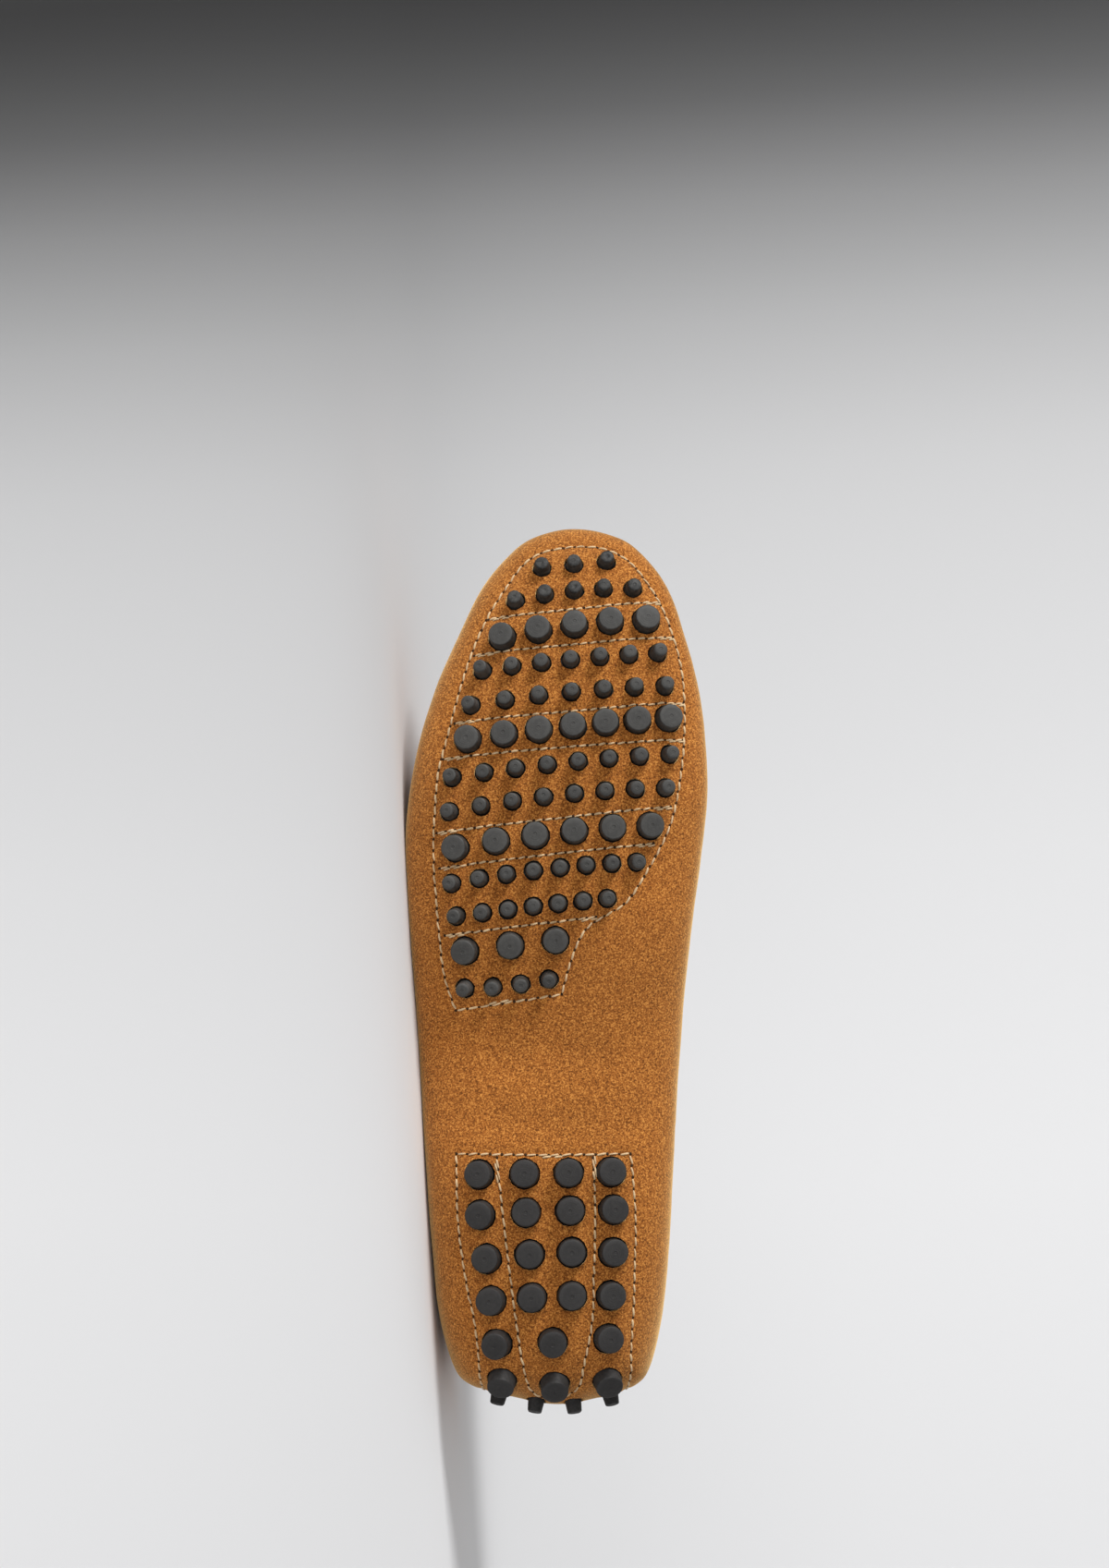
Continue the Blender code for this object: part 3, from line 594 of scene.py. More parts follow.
class Surface:
    """Finds places on the bottom and back of a laid piece, seen from inside the shoe."""

    def __init__(self, piece: bpy.types.Object, sizes: ShoeSizes) -> None:
        """Keep the piece's faces ready for rays."""
        self.sizes = sizes
        self.form = bmesh.new()
        self.form.from_mesh(piece.data)
        self.form.normal_update()
        self.form.faces.ensure_lookup_table()
        self.tree = BVHTree.FromBMesh(self.form)

    def place(self, along: float, across: float, swing: float = 0) -> tuple[Vector, Vector]:
        """The place that a ray meets on the outer face.

        Args:
            along: share of the length.
            across: share of the ball's width, inner side positive.
            swing: degrees that the ray is turned up the back of the heel.

        Returns:
            The point and the outward direction there.
        """
        sizes = self.sizes
        turn = math.radians(swing)
        height = sizes.swing_height
        if not swing:
            height = float(sizes.rocker(along * sizes.length)) + sizes.cast_height
        origin = Vector((along * sizes.length, across * sizes.ball_width, height))
        direction = Vector((-math.sin(turn), 0, -math.cos(turn)))
        point, normal, _, _ = self.tree.ray_cast(origin, direction)
        if normal.dot(direction) < 0:
            normal = -normal
        return point, normal

    def nearest(self, point: Vector) -> tuple[Vector, Vector]:
        """The nearest point of the face and its normal."""
        found, normal, _, _ = self.tree.find_nearest(point)
        return found, normal


class Shape(NamedTuple):
    """Points and faces that are copied many times."""

    points: np.ndarray
    faces: list[tuple[int, ...]]


def shape_of(piece: bpy.types.Object) -> Shape:
    """Take a piece's points and faces, and remove the piece."""
    shape = Shape(coordinates(piece), [tuple(face.vertices) for face in piece.data.polygons])
    bpy.data.objects.remove(piece)
    return shape


def copies(name: str, shapes: list[tuple[Shape, Matrix]],
           materials: Iterable[bpy.types.Material] = ()) -> bpy.types.Object:
    """One piece made of many placed copies, each with its own faces.

    Args:
        name: the piece's name.
        shapes: each copy's shape and place.
        materials: the piece's finishes.

    Returns:
        The joined piece.
    """
    points, faces, total = [], [], 0
    for shape, matrix in shapes:
        grid = np.array(matrix)
        points.append(shape.points @ grid[:3, :3].T + grid[:3, 3])
        faces.extend(tuple(corner + total for corner in face) for face in shape.faces)
        total += len(shape.points)
    mesh = bpy.data.meshes.new(name)
    mesh.from_pydata(np.concatenate(points).tolist(), [], faces)
    mesh.validate()
    for material in materials:
        mesh.materials.append(material)
    piece = bpy.data.objects.new(name, mesh)
    bpy.context.scene.collection.objects.link(piece)
    return piece


def upright(point: Vector, outward: Vector, ahead: Vector | None = None) -> Matrix:
    """A place with Z along outward and X as near as it can be to ahead."""
    up = outward.normalized()
    hint = ahead or Vector((1, 0, 0))
    side = up.cross(hint).normalized()
    front = side.cross(up)
    turn = Matrix((front, side, up)).transposed().to_4x4()
    return Matrix.Translation(point) @ turn


@dataclass(frozen=True)
class PegDetail:
    """The finer sizes of a peg, of its hole and of how uneven pegs are."""

    seed: int = 11
    sides: int = 24
    root_depth: float = SIZES.suede_wall + SIZES.fit_gap + 0.5 * SIZES.pad_wall
    bevel_steps: int = 3
    face_ring: float = 0.35
    gate_radius: float = 0.0006
    gate_edge: float = 0.00012
    gate_depth: float = 0.00012
    dome: float = 0.00010
    near: float = 0.00001
    lean: float = 0.035
    width_spread: float = 0.02
    height_spread: float = 0.03
    back_height: float = 0.013
    back_share: float = 0.82
    hole_sides: int = 14
    hole_tight: float = -0.0001
    hole_loose: float = 0.00022
    hole_height: float = 2 * SIZES.suede_wall
    face_depth: float = 0.0007
    face_edge: float = 0.93
    face_reach: float = 1.15
    rim_width: float = 0.07


Placed = list[tuple[PegKind, Vector, Vector]]


class Pegs:
    """The rubber pegs of both pads: where they stand and what they look like."""

    def __init__(self, surface: Surface) -> None:
        """Find every peg's place, with a little unevenness that is the same each run."""
        self.detail = PegDetail()
        self.draw = random.Random(self.detail.seed)
        self.surface = surface
        self.forefoot = self.places(FOREFOOT_PEGS)
        self.heel = self.places(HEEL_PEGS)
        self.all = self.forefoot + self.heel
        self.shapes = {kind: self.shape(kind) for kind in PegKind}

    def places(self, rows: Iterable[PegRow]) -> Placed:
        """Each peg's kind, its point on the suede and the way that it stands."""
        found = []
        for row in rows:
            for step in range(row.count):
                share = step / (row.count - 1)
                middle = 4 * share * (1 - share)
                along = row.outer_along + share * (row.inner_along - row.outer_along) + row.bow * middle
                across = row.outer_across + share * (row.inner_across - row.outer_across)
                point, outward = self.surface.place(along, across + row.slide * middle, row.swing)
                found.append((row.kind, point, outward))
        return found

    def shape(self, kind: PegKind) -> Shape:
        """One peg, raised from a cylinder: rounded edge, faint dome and the mark of its gate."""
        detail = self.detail
        deselect_all()
        shoulder = kind.height - kind.rounding
        bpy.ops.mesh.primitive_cylinder_add(
            vertices=detail.sides, radius=kind.root, depth=shoulder + detail.root_depth,
            location=(0, 0, 0.5 * (shoulder - detail.root_depth)), end_fill_type="NGON")
        peg = bpy.context.active_object
        bpy.ops.object.transform_apply(location=True, rotation=True, scale=True)
        points = coordinates(peg)
        top = points[:, 2] > 0
        points[top, :2] *= kind.tip / kind.root
        move_to(peg, points)
        bpy.ops.object.mode_set(mode="EDIT")
        form = bmesh.from_edit_mesh(peg.data)
        for face in form.faces:
            face.select_set(face.normal.z > 0.9)
        bmesh.update_edit_mesh(peg.data)
        for step in range(detail.bevel_steps):
            low, high = (0.5 * math.pi * turn / detail.bevel_steps for turn in (step, step + 1))
            bpy.ops.mesh.inset(
                thickness=kind.rounding * (math.cos(low) - math.cos(high)),
                depth=kind.rounding * (math.sin(high) - math.sin(low)), use_even_offset=False)
        inner = kind.tip - kind.rounding
        ring = detail.face_ring * inner
        for thickness in (ring, inner - ring - detail.gate_radius, detail.gate_edge):
            bpy.ops.mesh.inset(thickness=thickness, use_even_offset=False)
        bpy.ops.mesh.poke()
        bpy.ops.object.mode_set(mode="OBJECT")
        points = coordinates(peg)
        radius = np.linalg.norm(points[:, :2], axis=1)
        tip = points[:, 2] > kind.height - detail.near
        points[tip, 2] += detail.dome * (1 - (radius[tip] / kind.tip) ** 2)
        gate = tip & (radius < detail.gate_radius - 2 * detail.near)
        points[gate, 2] -= detail.gate_depth
        move_to(peg, points)
        return shape_of(peg)

    def copies(self, name: str, places: Placed, materials: Iterable[bpy.types.Material]) -> bpy.types.Object:
        """The pegs of one pad, each a little larger, smaller, taller or leaning."""
        detail = self.detail
        shapes = []
        for kind, point, outward in places:
            lean = Vector([self.draw.uniform(-detail.lean, detail.lean) for _ in range(3)])
            width = 1 + self.draw.uniform(-detail.width_spread, detail.width_spread)
            height = 1 + self.draw.uniform(-detail.height_spread, detail.height_spread)
            if point.z > detail.back_height and kind is PegKind.SMALL:
                height *= detail.back_share
            place = upright(point, outward + lean) @ Matrix.Diagonal((width, width, height, 1))
            shapes.append((self.shapes[kind], place))
        return copies(name, shapes, materials)

    def cutters(self) -> bpy.types.Object:
        """Uneven plugs that punch the holes through the suede."""
        detail = self.detail
        sides = detail.hole_sides
        shapes = []
        for kind, point, outward in self.all:
            ring = []
            for step in range(sides):
                angle = 2 * math.pi * step / sides
                radius = kind.root + SIZES.fit_gap + self.draw.uniform(detail.hole_tight, detail.hole_loose)
                ring.append((radius * math.cos(angle), radius * math.sin(angle)))
            low = [(x, y, -detail.root_depth) for x, y in ring]
            high = [(x, y, detail.hole_height) for x, y in ring]
            faces = [(k, (k + 1) % sides, sides + (k + 1) % sides, sides + k) for k in range(sides)]
            faces.append(tuple(reversed(range(sides))))
            faces.append(tuple(range(sides, 2 * sides)))
            shapes.append((Shape(np.array(low + high), faces), upright(point, outward)))
        return copies("hole_cutters", shapes)

    def mark(self, pad: bpy.types.Object, places: Placed) -> None:
        """Note on each vertex its distance from its peg's axis, and whether it is on the face or its rim."""
        detail = self.detail
        points = coordinates(pad)
        tips = np.array([tuple(point + kind.height * outward) for kind, point, outward in places])
        axes = np.array([tuple(outward) for _, _, outward in places])
        radii = np.array([kind.tip for kind, _, _ in places])
        _, which = distances(points, tips)
        offset = points - tips[which]
        level = np.einsum("ij,ij->i", offset, axes[which])
        radius = np.linalg.norm(offset - level[:, None] * axes[which], axis=1)
        share = radius / radii[which]
        on_face = (level > -detail.face_depth) & (share < detail.face_reach)
        rim = np.exp(-((share - detail.face_edge) / detail.rim_width) ** 2)
        set_values(pad, "radius", np.where(on_face, radius, 0))
        set_values(pad, "face", np.where(on_face & (share < detail.face_edge), 1.0, 0.0))
        set_values(pad, "rim", np.where(on_face, rim, 0))


def cut(piece: bpy.types.Object, tool: bpy.types.Object, operation: str) -> None:
    """Combine a closed piece with closed tools, and remove the tools."""
    apply_modifier(piece, "BOOLEAN", object=tool, operation=operation, solver="MANIFOLD")
    bpy.data.objects.remove(tool)


def finish_piece(piece: bpy.types.Object, nodes: Iterable[str] = ()) -> bpy.types.Object:
    """Lay a piece down with the shoe and tie it to the body.

    Args:
        piece: the finished piece, still standing.
        nodes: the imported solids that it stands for.

    Returns:
        The piece.
    """
    piece.data.transform(LYING)
    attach(piece, BODY)
    if nodes:
        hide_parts(*nodes)
    LOG.info("%s: %d faces", piece.name, len(piece.data.polygons))
    return piece


class Tack(Enum):
    """Where a line is sewn twice over."""

    NONE = "none"
    ENDS = "ends"
    MIDDLE = "middle"


class StitchLine(NamedTuple):
    """A sewn line: its places as along, across and swing, its pitch, and where its stitches are doubled."""

    places: tuple[tuple[float, ...], ...]
    pitch: float
    tack: Tack = Tack.NONE


OUTLINE_PITCH = 0.0038
CROSS_PITCH = 0.0032
SOLE_STITCHES = (
    StitchLine((
        (0.446, -0.338), (0.458, -0.352), (0.487, -0.378), (0.528, -0.393), (0.568, -0.404),
        (0.606, -0.412), (0.640, -0.413), (0.668, -0.409), (0.696, -0.404), (0.720, -0.395),
        (0.761, -0.364), (0.815, -0.322), (0.854, -0.285), (0.893, -0.236), (0.926, -0.177),
        (0.953, -0.122), (0.968, -0.062), (0.975, 0.020), (0.977, 0.106), (0.972, 0.180), (0.958, 0.248),
        (0.936, 0.300), (0.907, 0.351), (0.871, 0.391), (0.833, 0.418), (0.788, 0.427), (0.744, 0.423),
        (0.705, 0.410), (0.668, 0.388), (0.637, 0.354), (0.602, 0.298), (0.580, 0.258), (0.565, 0.221),
        (0.555, 0.172), (0.542, 0.110), (0.528, 0.077), (0.508, 0.052), (0.489, 0.034), (0.464, 0.015)
    ), OUTLINE_PITCH),
    StitchLine(((0.464, 0.015), (0.455, -0.160), (0.446, -0.338)), OUTLINE_PITCH, Tack.MIDDLE),
    StitchLine(((0.891, -0.232), (0.902, 0.050), (0.911, 0.345)), CROSS_PITCH, Tack.ENDS),
    StitchLine(((0.849, -0.280), (0.861, 0.050), (0.870, 0.391)), CROSS_PITCH, Tack.ENDS),
    StitchLine(((0.771, -0.344), (0.784, 0.040), (0.794, 0.424)), CROSS_PITCH, Tack.ENDS),
    StitchLine(((0.730, -0.382), (0.743, 0.020), (0.752, 0.421)), CROSS_PITCH, Tack.ENDS),
    StitchLine(((0.646, -0.403), (0.662, -0.010), (0.676, 0.379)), CROSS_PITCH, Tack.ENDS),
    StitchLine(((0.606, -0.393), (0.621, -0.040), (0.634, 0.320)), CROSS_PITCH, Tack.ENDS),
    StitchLine(((0.530, -0.375), (0.541, -0.120), (0.551, 0.129)), CROSS_PITCH, Tack.ENDS),
    StitchLine(((0.285, -0.336), (0.284, -0.045), (0.285, 0.243)), OUTLINE_PITCH, Tack.MIDDLE),
    StitchLine((
        (0.285, -0.336), (0.248, -0.334), (0.212, -0.331), (0.172, -0.318), (0.130, -0.297),
        (0.101, -0.278), (0.060, -0.262), (0.129, -0.252, 55), (0.129, -0.244, 70), (0.129, -0.226, 81),
        (0.129, -0.165, 92), (0.129, -0.085, 99), (0.129, 0.000, 101), (0.129, 0.075, 99),
        (0.129, 0.150, 92), (0.129, 0.208, 81), (0.129, 0.228, 70), (0.129, 0.238, 55), (0.056, 0.246),
        (0.082, 0.249), (0.113, 0.254), (0.148, 0.257), (0.196, 0.260), (0.236, 0.257), (0.272, 0.248),
        (0.285, 0.243)
    ), OUTLINE_PITCH),
    StitchLine((
        (0.281, -0.200), (0.235, -0.186), (0.173, -0.165), (0.125, -0.147), (0.078, -0.128),
        (0.049, -0.114), (0.129, -0.089, 51), (0.129, -0.055, 56), (0.129, -0.006, 58), (0.129, 0.037, 54),
        (0.129, 0.074, 48), (0.049, 0.089), (0.073, 0.104), (0.109, 0.119), (0.149, 0.121), (0.196, 0.125),
        (0.235, 0.125), (0.281, 0.119)
    ), OUTLINE_PITCH, Tack.ENDS),
)


class Crease(NamedTuple):
    """A soft trough or ridge: places as side, along and up the wall, its depth and its half width."""

    places: tuple[tuple[Side, float, float], ...]
    depth: float
    width: float


OUTER, INNER = Side.OUTER, Side.INNER
CREASES = (
    Crease(((OUTER, 0.56, 0.98), (OUTER, 0.61, 0.84), (OUTER, 0.64, 0.68)), -0.0011, 0.0042),
    Crease(((OUTER, 0.60, 0.96), (OUTER, 0.66, 0.82), (OUTER, 0.70, 0.66)), 0.0008, 0.0045),
    Crease(((OUTER, 0.65, 0.97), (OUTER, 0.71, 0.84), (OUTER, 0.745, 0.70)), -0.0009, 0.0038),
    Crease(((INNER, 0.55, 0.98), (INNER, 0.60, 0.85), (INNER, 0.625, 0.66)), -0.0011, 0.0042),
    Crease(((INNER, 0.59, 0.97), (INNER, 0.65, 0.83), (INNER, 0.685, 0.66)), 0.0008, 0.0045),
    Crease(((INNER, 0.64, 0.97), (INNER, 0.70, 0.84), (INNER, 0.74, 0.70)), -0.0009, 0.0038),
    Crease(((OUTER, 0.20, 0.97), (OUTER, 0.25, 0.80), (OUTER, 0.32, 0.66)), -0.0009, 0.0060),
    Crease(((INNER, 0.19, 0.97), (INNER, 0.25, 0.80), (INNER, 0.33, 0.64)), -0.0009, 0.0060),
    Crease(((INNER, 0.08, 0.93), (INNER, 0.10, 0.78), (INNER, 0.15, 0.64)), -0.0007, 0.0050),
    Crease(((OUTER, 0.08, 0.93), (OUTER, 0.10, 0.78), (OUTER, 0.15, 0.64)), -0.0007, 0.0050),
    Crease(((OUTER, 0.41, 0.46), (OUTER, 0.40, 0.05), (INNER, 0.40, 0.44)), -0.0005, 0.0060),
    Crease(((OUTER, 0.36, 0.46), (OUTER, 0.35, 0.05), (INNER, 0.35, 0.44)), 0.0004, 0.0060),
    Crease(((OUTER, 0.323, 0.44), (OUTER, 0.315, 0.05), (INNER, 0.312, 0.42)), -0.0004, 0.0050),
)


def dense_line(points: Iterable[Vector], step: float) -> np.ndarray:
    """A smooth line through some points, as places at about an even step."""
    rows = np.array([tuple(point) for point in points])
    gaps = np.linalg.norm(np.diff(rows, axis=0), axis=1)
    line = catmull_rows(rows, np.maximum(2, np.ceil(gaps / step)).astype(int), closed=False)
    reach = np.linalg.norm(np.diff(line, axis=0), axis=1).sum()
    return even_points(line, max(2, int(round(reach / step))))


def distances(points: np.ndarray, places: np.ndarray) -> tuple[np.ndarray, np.ndarray]:
    """The distance from each point to the nearest of some places, and which place that is."""
    tree = KDTree(len(places))
    for number, place in enumerate(places):
        tree.insert(place, number)
    tree.balance()
    found = [tree.find(point) for point in points]
    return np.array([item[2] for item in found]), np.array([item[1] for item in found])


@dataclass(frozen=True)
class Relief:
    """How far the suede stands out or in: seams, hole lips, creases, gathers and unevenness."""

    trough_depth: float = 0.00042
    trough_width: float = 0.0012
    lip_height: float = 0.00030
    lip_width: float = 0.0020
    swell: float = 0.00022
    swell_size: float = 0.024
    ripple: float = 0.00007
    ripple_size: float = 0.007
    gather: float = 0.00042
    gather_pitch: float = 0.0044
    gather_fade: float = 0.011
    gather_start: float = 0.62
    gather_run: float = 0.12
    crease_fade: float = 0.6
    crease_step: float = 0.001
    seam_step: float = 0.0005
    back_seam: float = 0.0006
    back_seam_width: float = 0.0011
    back_seam_along: float = 0.03
    back_seam_height: float = 0.045
    shade_reach: float = 0.0045
    lip_shade: float = 0.8
    seam_shade: float = 0.45
    seam_shade_width: float = 0.0016
    worn_rise: float = 0.001
    worn_reach: float = 0.004

    def seams(self, surface: Surface) -> np.ndarray:
        """Places along all the sewn lines of the bottom."""
        lines = []
        for line in SOLE_STITCHES:
            lines.append(dense_line([surface.place(*place)[0] for place in line.places], self.seam_step))
        return np.concatenate(lines)

    def uneven(self, points: np.ndarray) -> np.ndarray:
        """Broad swells and small ripples."""
        return np.array([
            self.swell * noise.noise(Vector(point) / self.swell_size)
            + self.ripple * noise.noise(Vector(point) / self.ripple_size + Vector((7, 3, 1)))
            for point in points])

    def creases(self, points: np.ndarray, last: Last) -> np.ndarray:
        """The listed creases, faded at their ends."""
        total = np.zeros(len(points))
        for crease in CREASES:
            line = dense_line([Vector(last.at(*place)) for place in crease.places], self.crease_step)
            near, which = distances(points, line)
            share = which / (len(line) - 1)
            fade = np.sin(math.pi * np.clip(share, 0.001, 0.999)) ** self.crease_fade
            total += crease.depth * fade * np.exp(-(near / crease.width) ** 2)
        return total

    def gathers(self, reach: np.ndarray, below: np.ndarray, along: np.ndarray) -> np.ndarray:
        """Small folds under the raised seam round the toe."""
        toe = smooth_step((along - self.gather_start) / self.gather_run)
        fade = 1 - smooth_step(below / self.gather_fade)
        return -self.gather * toe * fade * (1 + np.cos(2 * math.pi * reach / self.gather_pitch))

    def back_line(self, points: np.ndarray) -> np.ndarray:
        """The sunken seam down the middle of the back."""
        back = (points[:, 0] < self.back_seam_along) & (points[:, 2] > self.back_seam_height)
        return -np.where(back, self.back_seam * np.exp(-(points[:, 1] / self.back_seam_width) ** 2), 0)

    def painted_shade(self, gap: np.ndarray, seam: np.ndarray) -> np.ndarray:
        """Painted shade: how far the suede's colour is darkened beside the pegs and in the sewn lines, where
        shade falls.
        """
        lips = self.lip_shade * (1 - smooth_step(gap / self.shade_reach))
        return np.clip(lips + self.seam_shade * np.exp(-(seam / self.seam_shade_width) ** 2), 0, 1)

    def worn(self, below: np.ndarray) -> np.ndarray:
        """How worn the suede is near its edge."""
        return 1 - smooth_step((below + self.worn_rise) / self.worn_reach)


class Upper:
    """The one-piece suede body: bottom, sides and back."""

    def __init__(self, last: Last, materials: list[bpy.types.Material]) -> None:
        """Lay the outer face over the last, with each place's reach along the rim and depth below it."""
        self.last = last
        self.piece = laid_grid("upper_suede", last.columns, materials, closed=True)
        rings = last.columns.shape[1]
        reach = np.append(last.rim_reach(), last.rim_reach()[-1] + last.grid.spacing)
        steps = np.linalg.norm(np.diff(last.columns, axis=1), axis=2)
        depth = np.cumsum(steps[:, ::-1], axis=1)[:, ::-1]
        below = np.column_stack([depth, np.zeros(len(steps))])
        below = np.concatenate([below, below[:1]]) - last.sizes.seam_lip
        set_values(self.piece, "reach", np.repeat(reach, rings))
        set_values(self.piece, "below", below.ravel())
        merge_doubles(self.piece)
        edit(self.piece, bpy.ops.mesh.flip_normals)
        self.surface = Surface(self.piece, last.sizes)
        self.skin = self.surface

    def shape(self, pegs: Pegs, relief: Relief) -> None:
        """Press the relief into the outer face, and note where shade is painted and where it is worn."""
        piece = self.piece
        points = coordinates(piece)
        normals = np.empty(len(points) * 3)
        piece.data.vertices.foreach_get("normal", normals)
        normals = normals.reshape(-1, 3)
        reach, below = get_values(piece, "reach"), get_values(piece, "below")
        seam, _ = distances(points, relief.seams(self.surface))
        height = -relief.trough_depth * np.exp(-(seam / relief.trough_width) ** 2)
        holes = np.array([tuple(point) for _, point, _ in pegs.all])
        radii = np.array([kind.root for kind, _, _ in pegs.all])
        near, which = distances(points, holes)
        gap = near - radii[which]
        height += relief.lip_height * (1 - smooth_step(gap / relief.lip_width))
        height += relief.creases(points, self.last) + relief.uneven(points)
        height += relief.gathers(reach, np.clip(below, 0, None), points[:, 0] / self.last.sizes.length)
        height += relief.back_line(points)
        points = points + height[:, None] * normals
        grid = np.array(LYING)
        level = points @ grid[2, :3] + grid[2, 3]
        points += np.clip(-level, 0, None)[:, None] * grid[2, :3]
        move_to(piece, points)
        # painted shade beside the pegs and along the sewn lines, which darkens the suede's colour
        set_values(piece, "painted_shade", relief.painted_shade(gap, seam))
        set_values(piece, "worn", relief.worn(below))
        self.skin = Surface(piece, self.last.sizes)

    def build(self, pegs: Pegs) -> bpy.types.Object:
        """Give the face its wall and punch the holes."""
        apply_modifier(
            self.piece, "SOLIDIFY", thickness=self.last.sizes.suede_wall, offset=-1.0,
            use_even_offset=True, use_quality_normals=True, material_offset=1)
        cut(self.piece, pegs.cutters(), "DIFFERENCE")
        smooth(self.piece)
        return finish_piece(self.piece, ["upper"])


def sheet_columns(
        surface: Surface, rows: tuple[SheetRow, ...], spacing: float) -> tuple[np.ndarray, np.ndarray]:
    """Places all over a sheet inside the shoe.

    Args:
        surface: the face that the sheet follows.
        rows: the sheet's outline, row by row.
        spacing: how far apart the places are.

    Returns:
        Points on the surface and the outward direction at each, by row and column.
    """
    sizes = surface.sizes
    table = np.array(rows)
    scale = np.array([sizes.length, sizes.ball_width, sizes.ball_width, math.radians(sizes.swing_height)])
    gaps = np.abs(np.diff(table, axis=0) * scale).sum(axis=1)
    steps = np.maximum(2, np.ceil(gaps / (2 * spacing))).astype(int)
    dense = catmull_rows(table, steps, closed=False)
    count = int(np.ceil(np.abs(table[:, 2] - table[:, 1]).max() * sizes.ball_width / spacing)) + 1
    points, outs = [], []
    for along, outer, inner, swing in dense:
        for share in np.linspace(0, 1, count):
            point, outward = surface.place(along, outer + share * (inner - outer), max(swing, 0))
            points.append(tuple(point))
            outs.append(tuple(outward))
    shape = (len(dense), count, 3)
    return np.array(points).reshape(shape), np.array(outs).reshape(shape)


def laid_sheet(name: str, surface: Surface, rows: tuple[SheetRow, ...], depth: float, wall: float,
               materials: Iterable[bpy.types.Material], spacing: float = 0.0025) -> bpy.types.Object:
    """A closed sheet inside the shoe, at a depth under the outer face."""
    points, outs = sheet_columns(surface, rows, spacing)
    piece = laid_grid(name, points - depth * outs, materials)
    if piece.data.polygons[0].normal.dot(Vector(outs[0, 0])) < 0:
        edit(piece, bpy.ops.mesh.flip_normals)
    apply_modifier(piece, "SOLIDIFY", thickness=wall, offset=-1.0, use_quality_normals=True)
    edit(piece, lambda: bpy.ops.mesh.normals_make_consistent(inside=False))
    return piece


@dataclass(frozen=True)
class Pad:
    """One rubber pad: a sheet inside the shoe with its pegs moulded on."""

    name: str
    node: str
    sheet: tuple[SheetRow, ...]
    depth: float = SIZES.suede_wall + SIZES.fit_gap

    def build(
            self, surface: Surface, pegs: Pegs, places: Placed,
            rubber: bpy.types.Material) -> bpy.types.Object:
        """Make the pad.

        Args:
            surface: the face that the sheet follows.
            pegs: the shapes of the pegs.
            places: where this pad's pegs stand.
            rubber: its finish.

        Returns:
            The finished piece.
        """
        pad = laid_sheet(self.name, surface, self.sheet, self.depth, SIZES.pad_wall, [rubber])
        cut(pad, pegs.copies("pegs", places, [rubber]), "UNION")
        pegs.mark(pad, places)
        smooth(pad)
        return finish_piece(pad, [self.node])


@dataclass(frozen=True)
class Insole:
    """The leather-covered insole over both pads."""

    depth: float = SIZES.suede_wall + SIZES.fit_gap + SIZES.pad_wall + SIZES.insole_gap

    def build(self, surface: Surface, leather: bpy.types.Material) -> bpy.types.Object:
        """Make the insole."""
        piece = laid_sheet("insole_cover", surface, INSOLE_SHEET, self.depth, SIZES.insole_wall, [leather])
        smooth(piece)
        return finish_piece(piece, ["insole"])


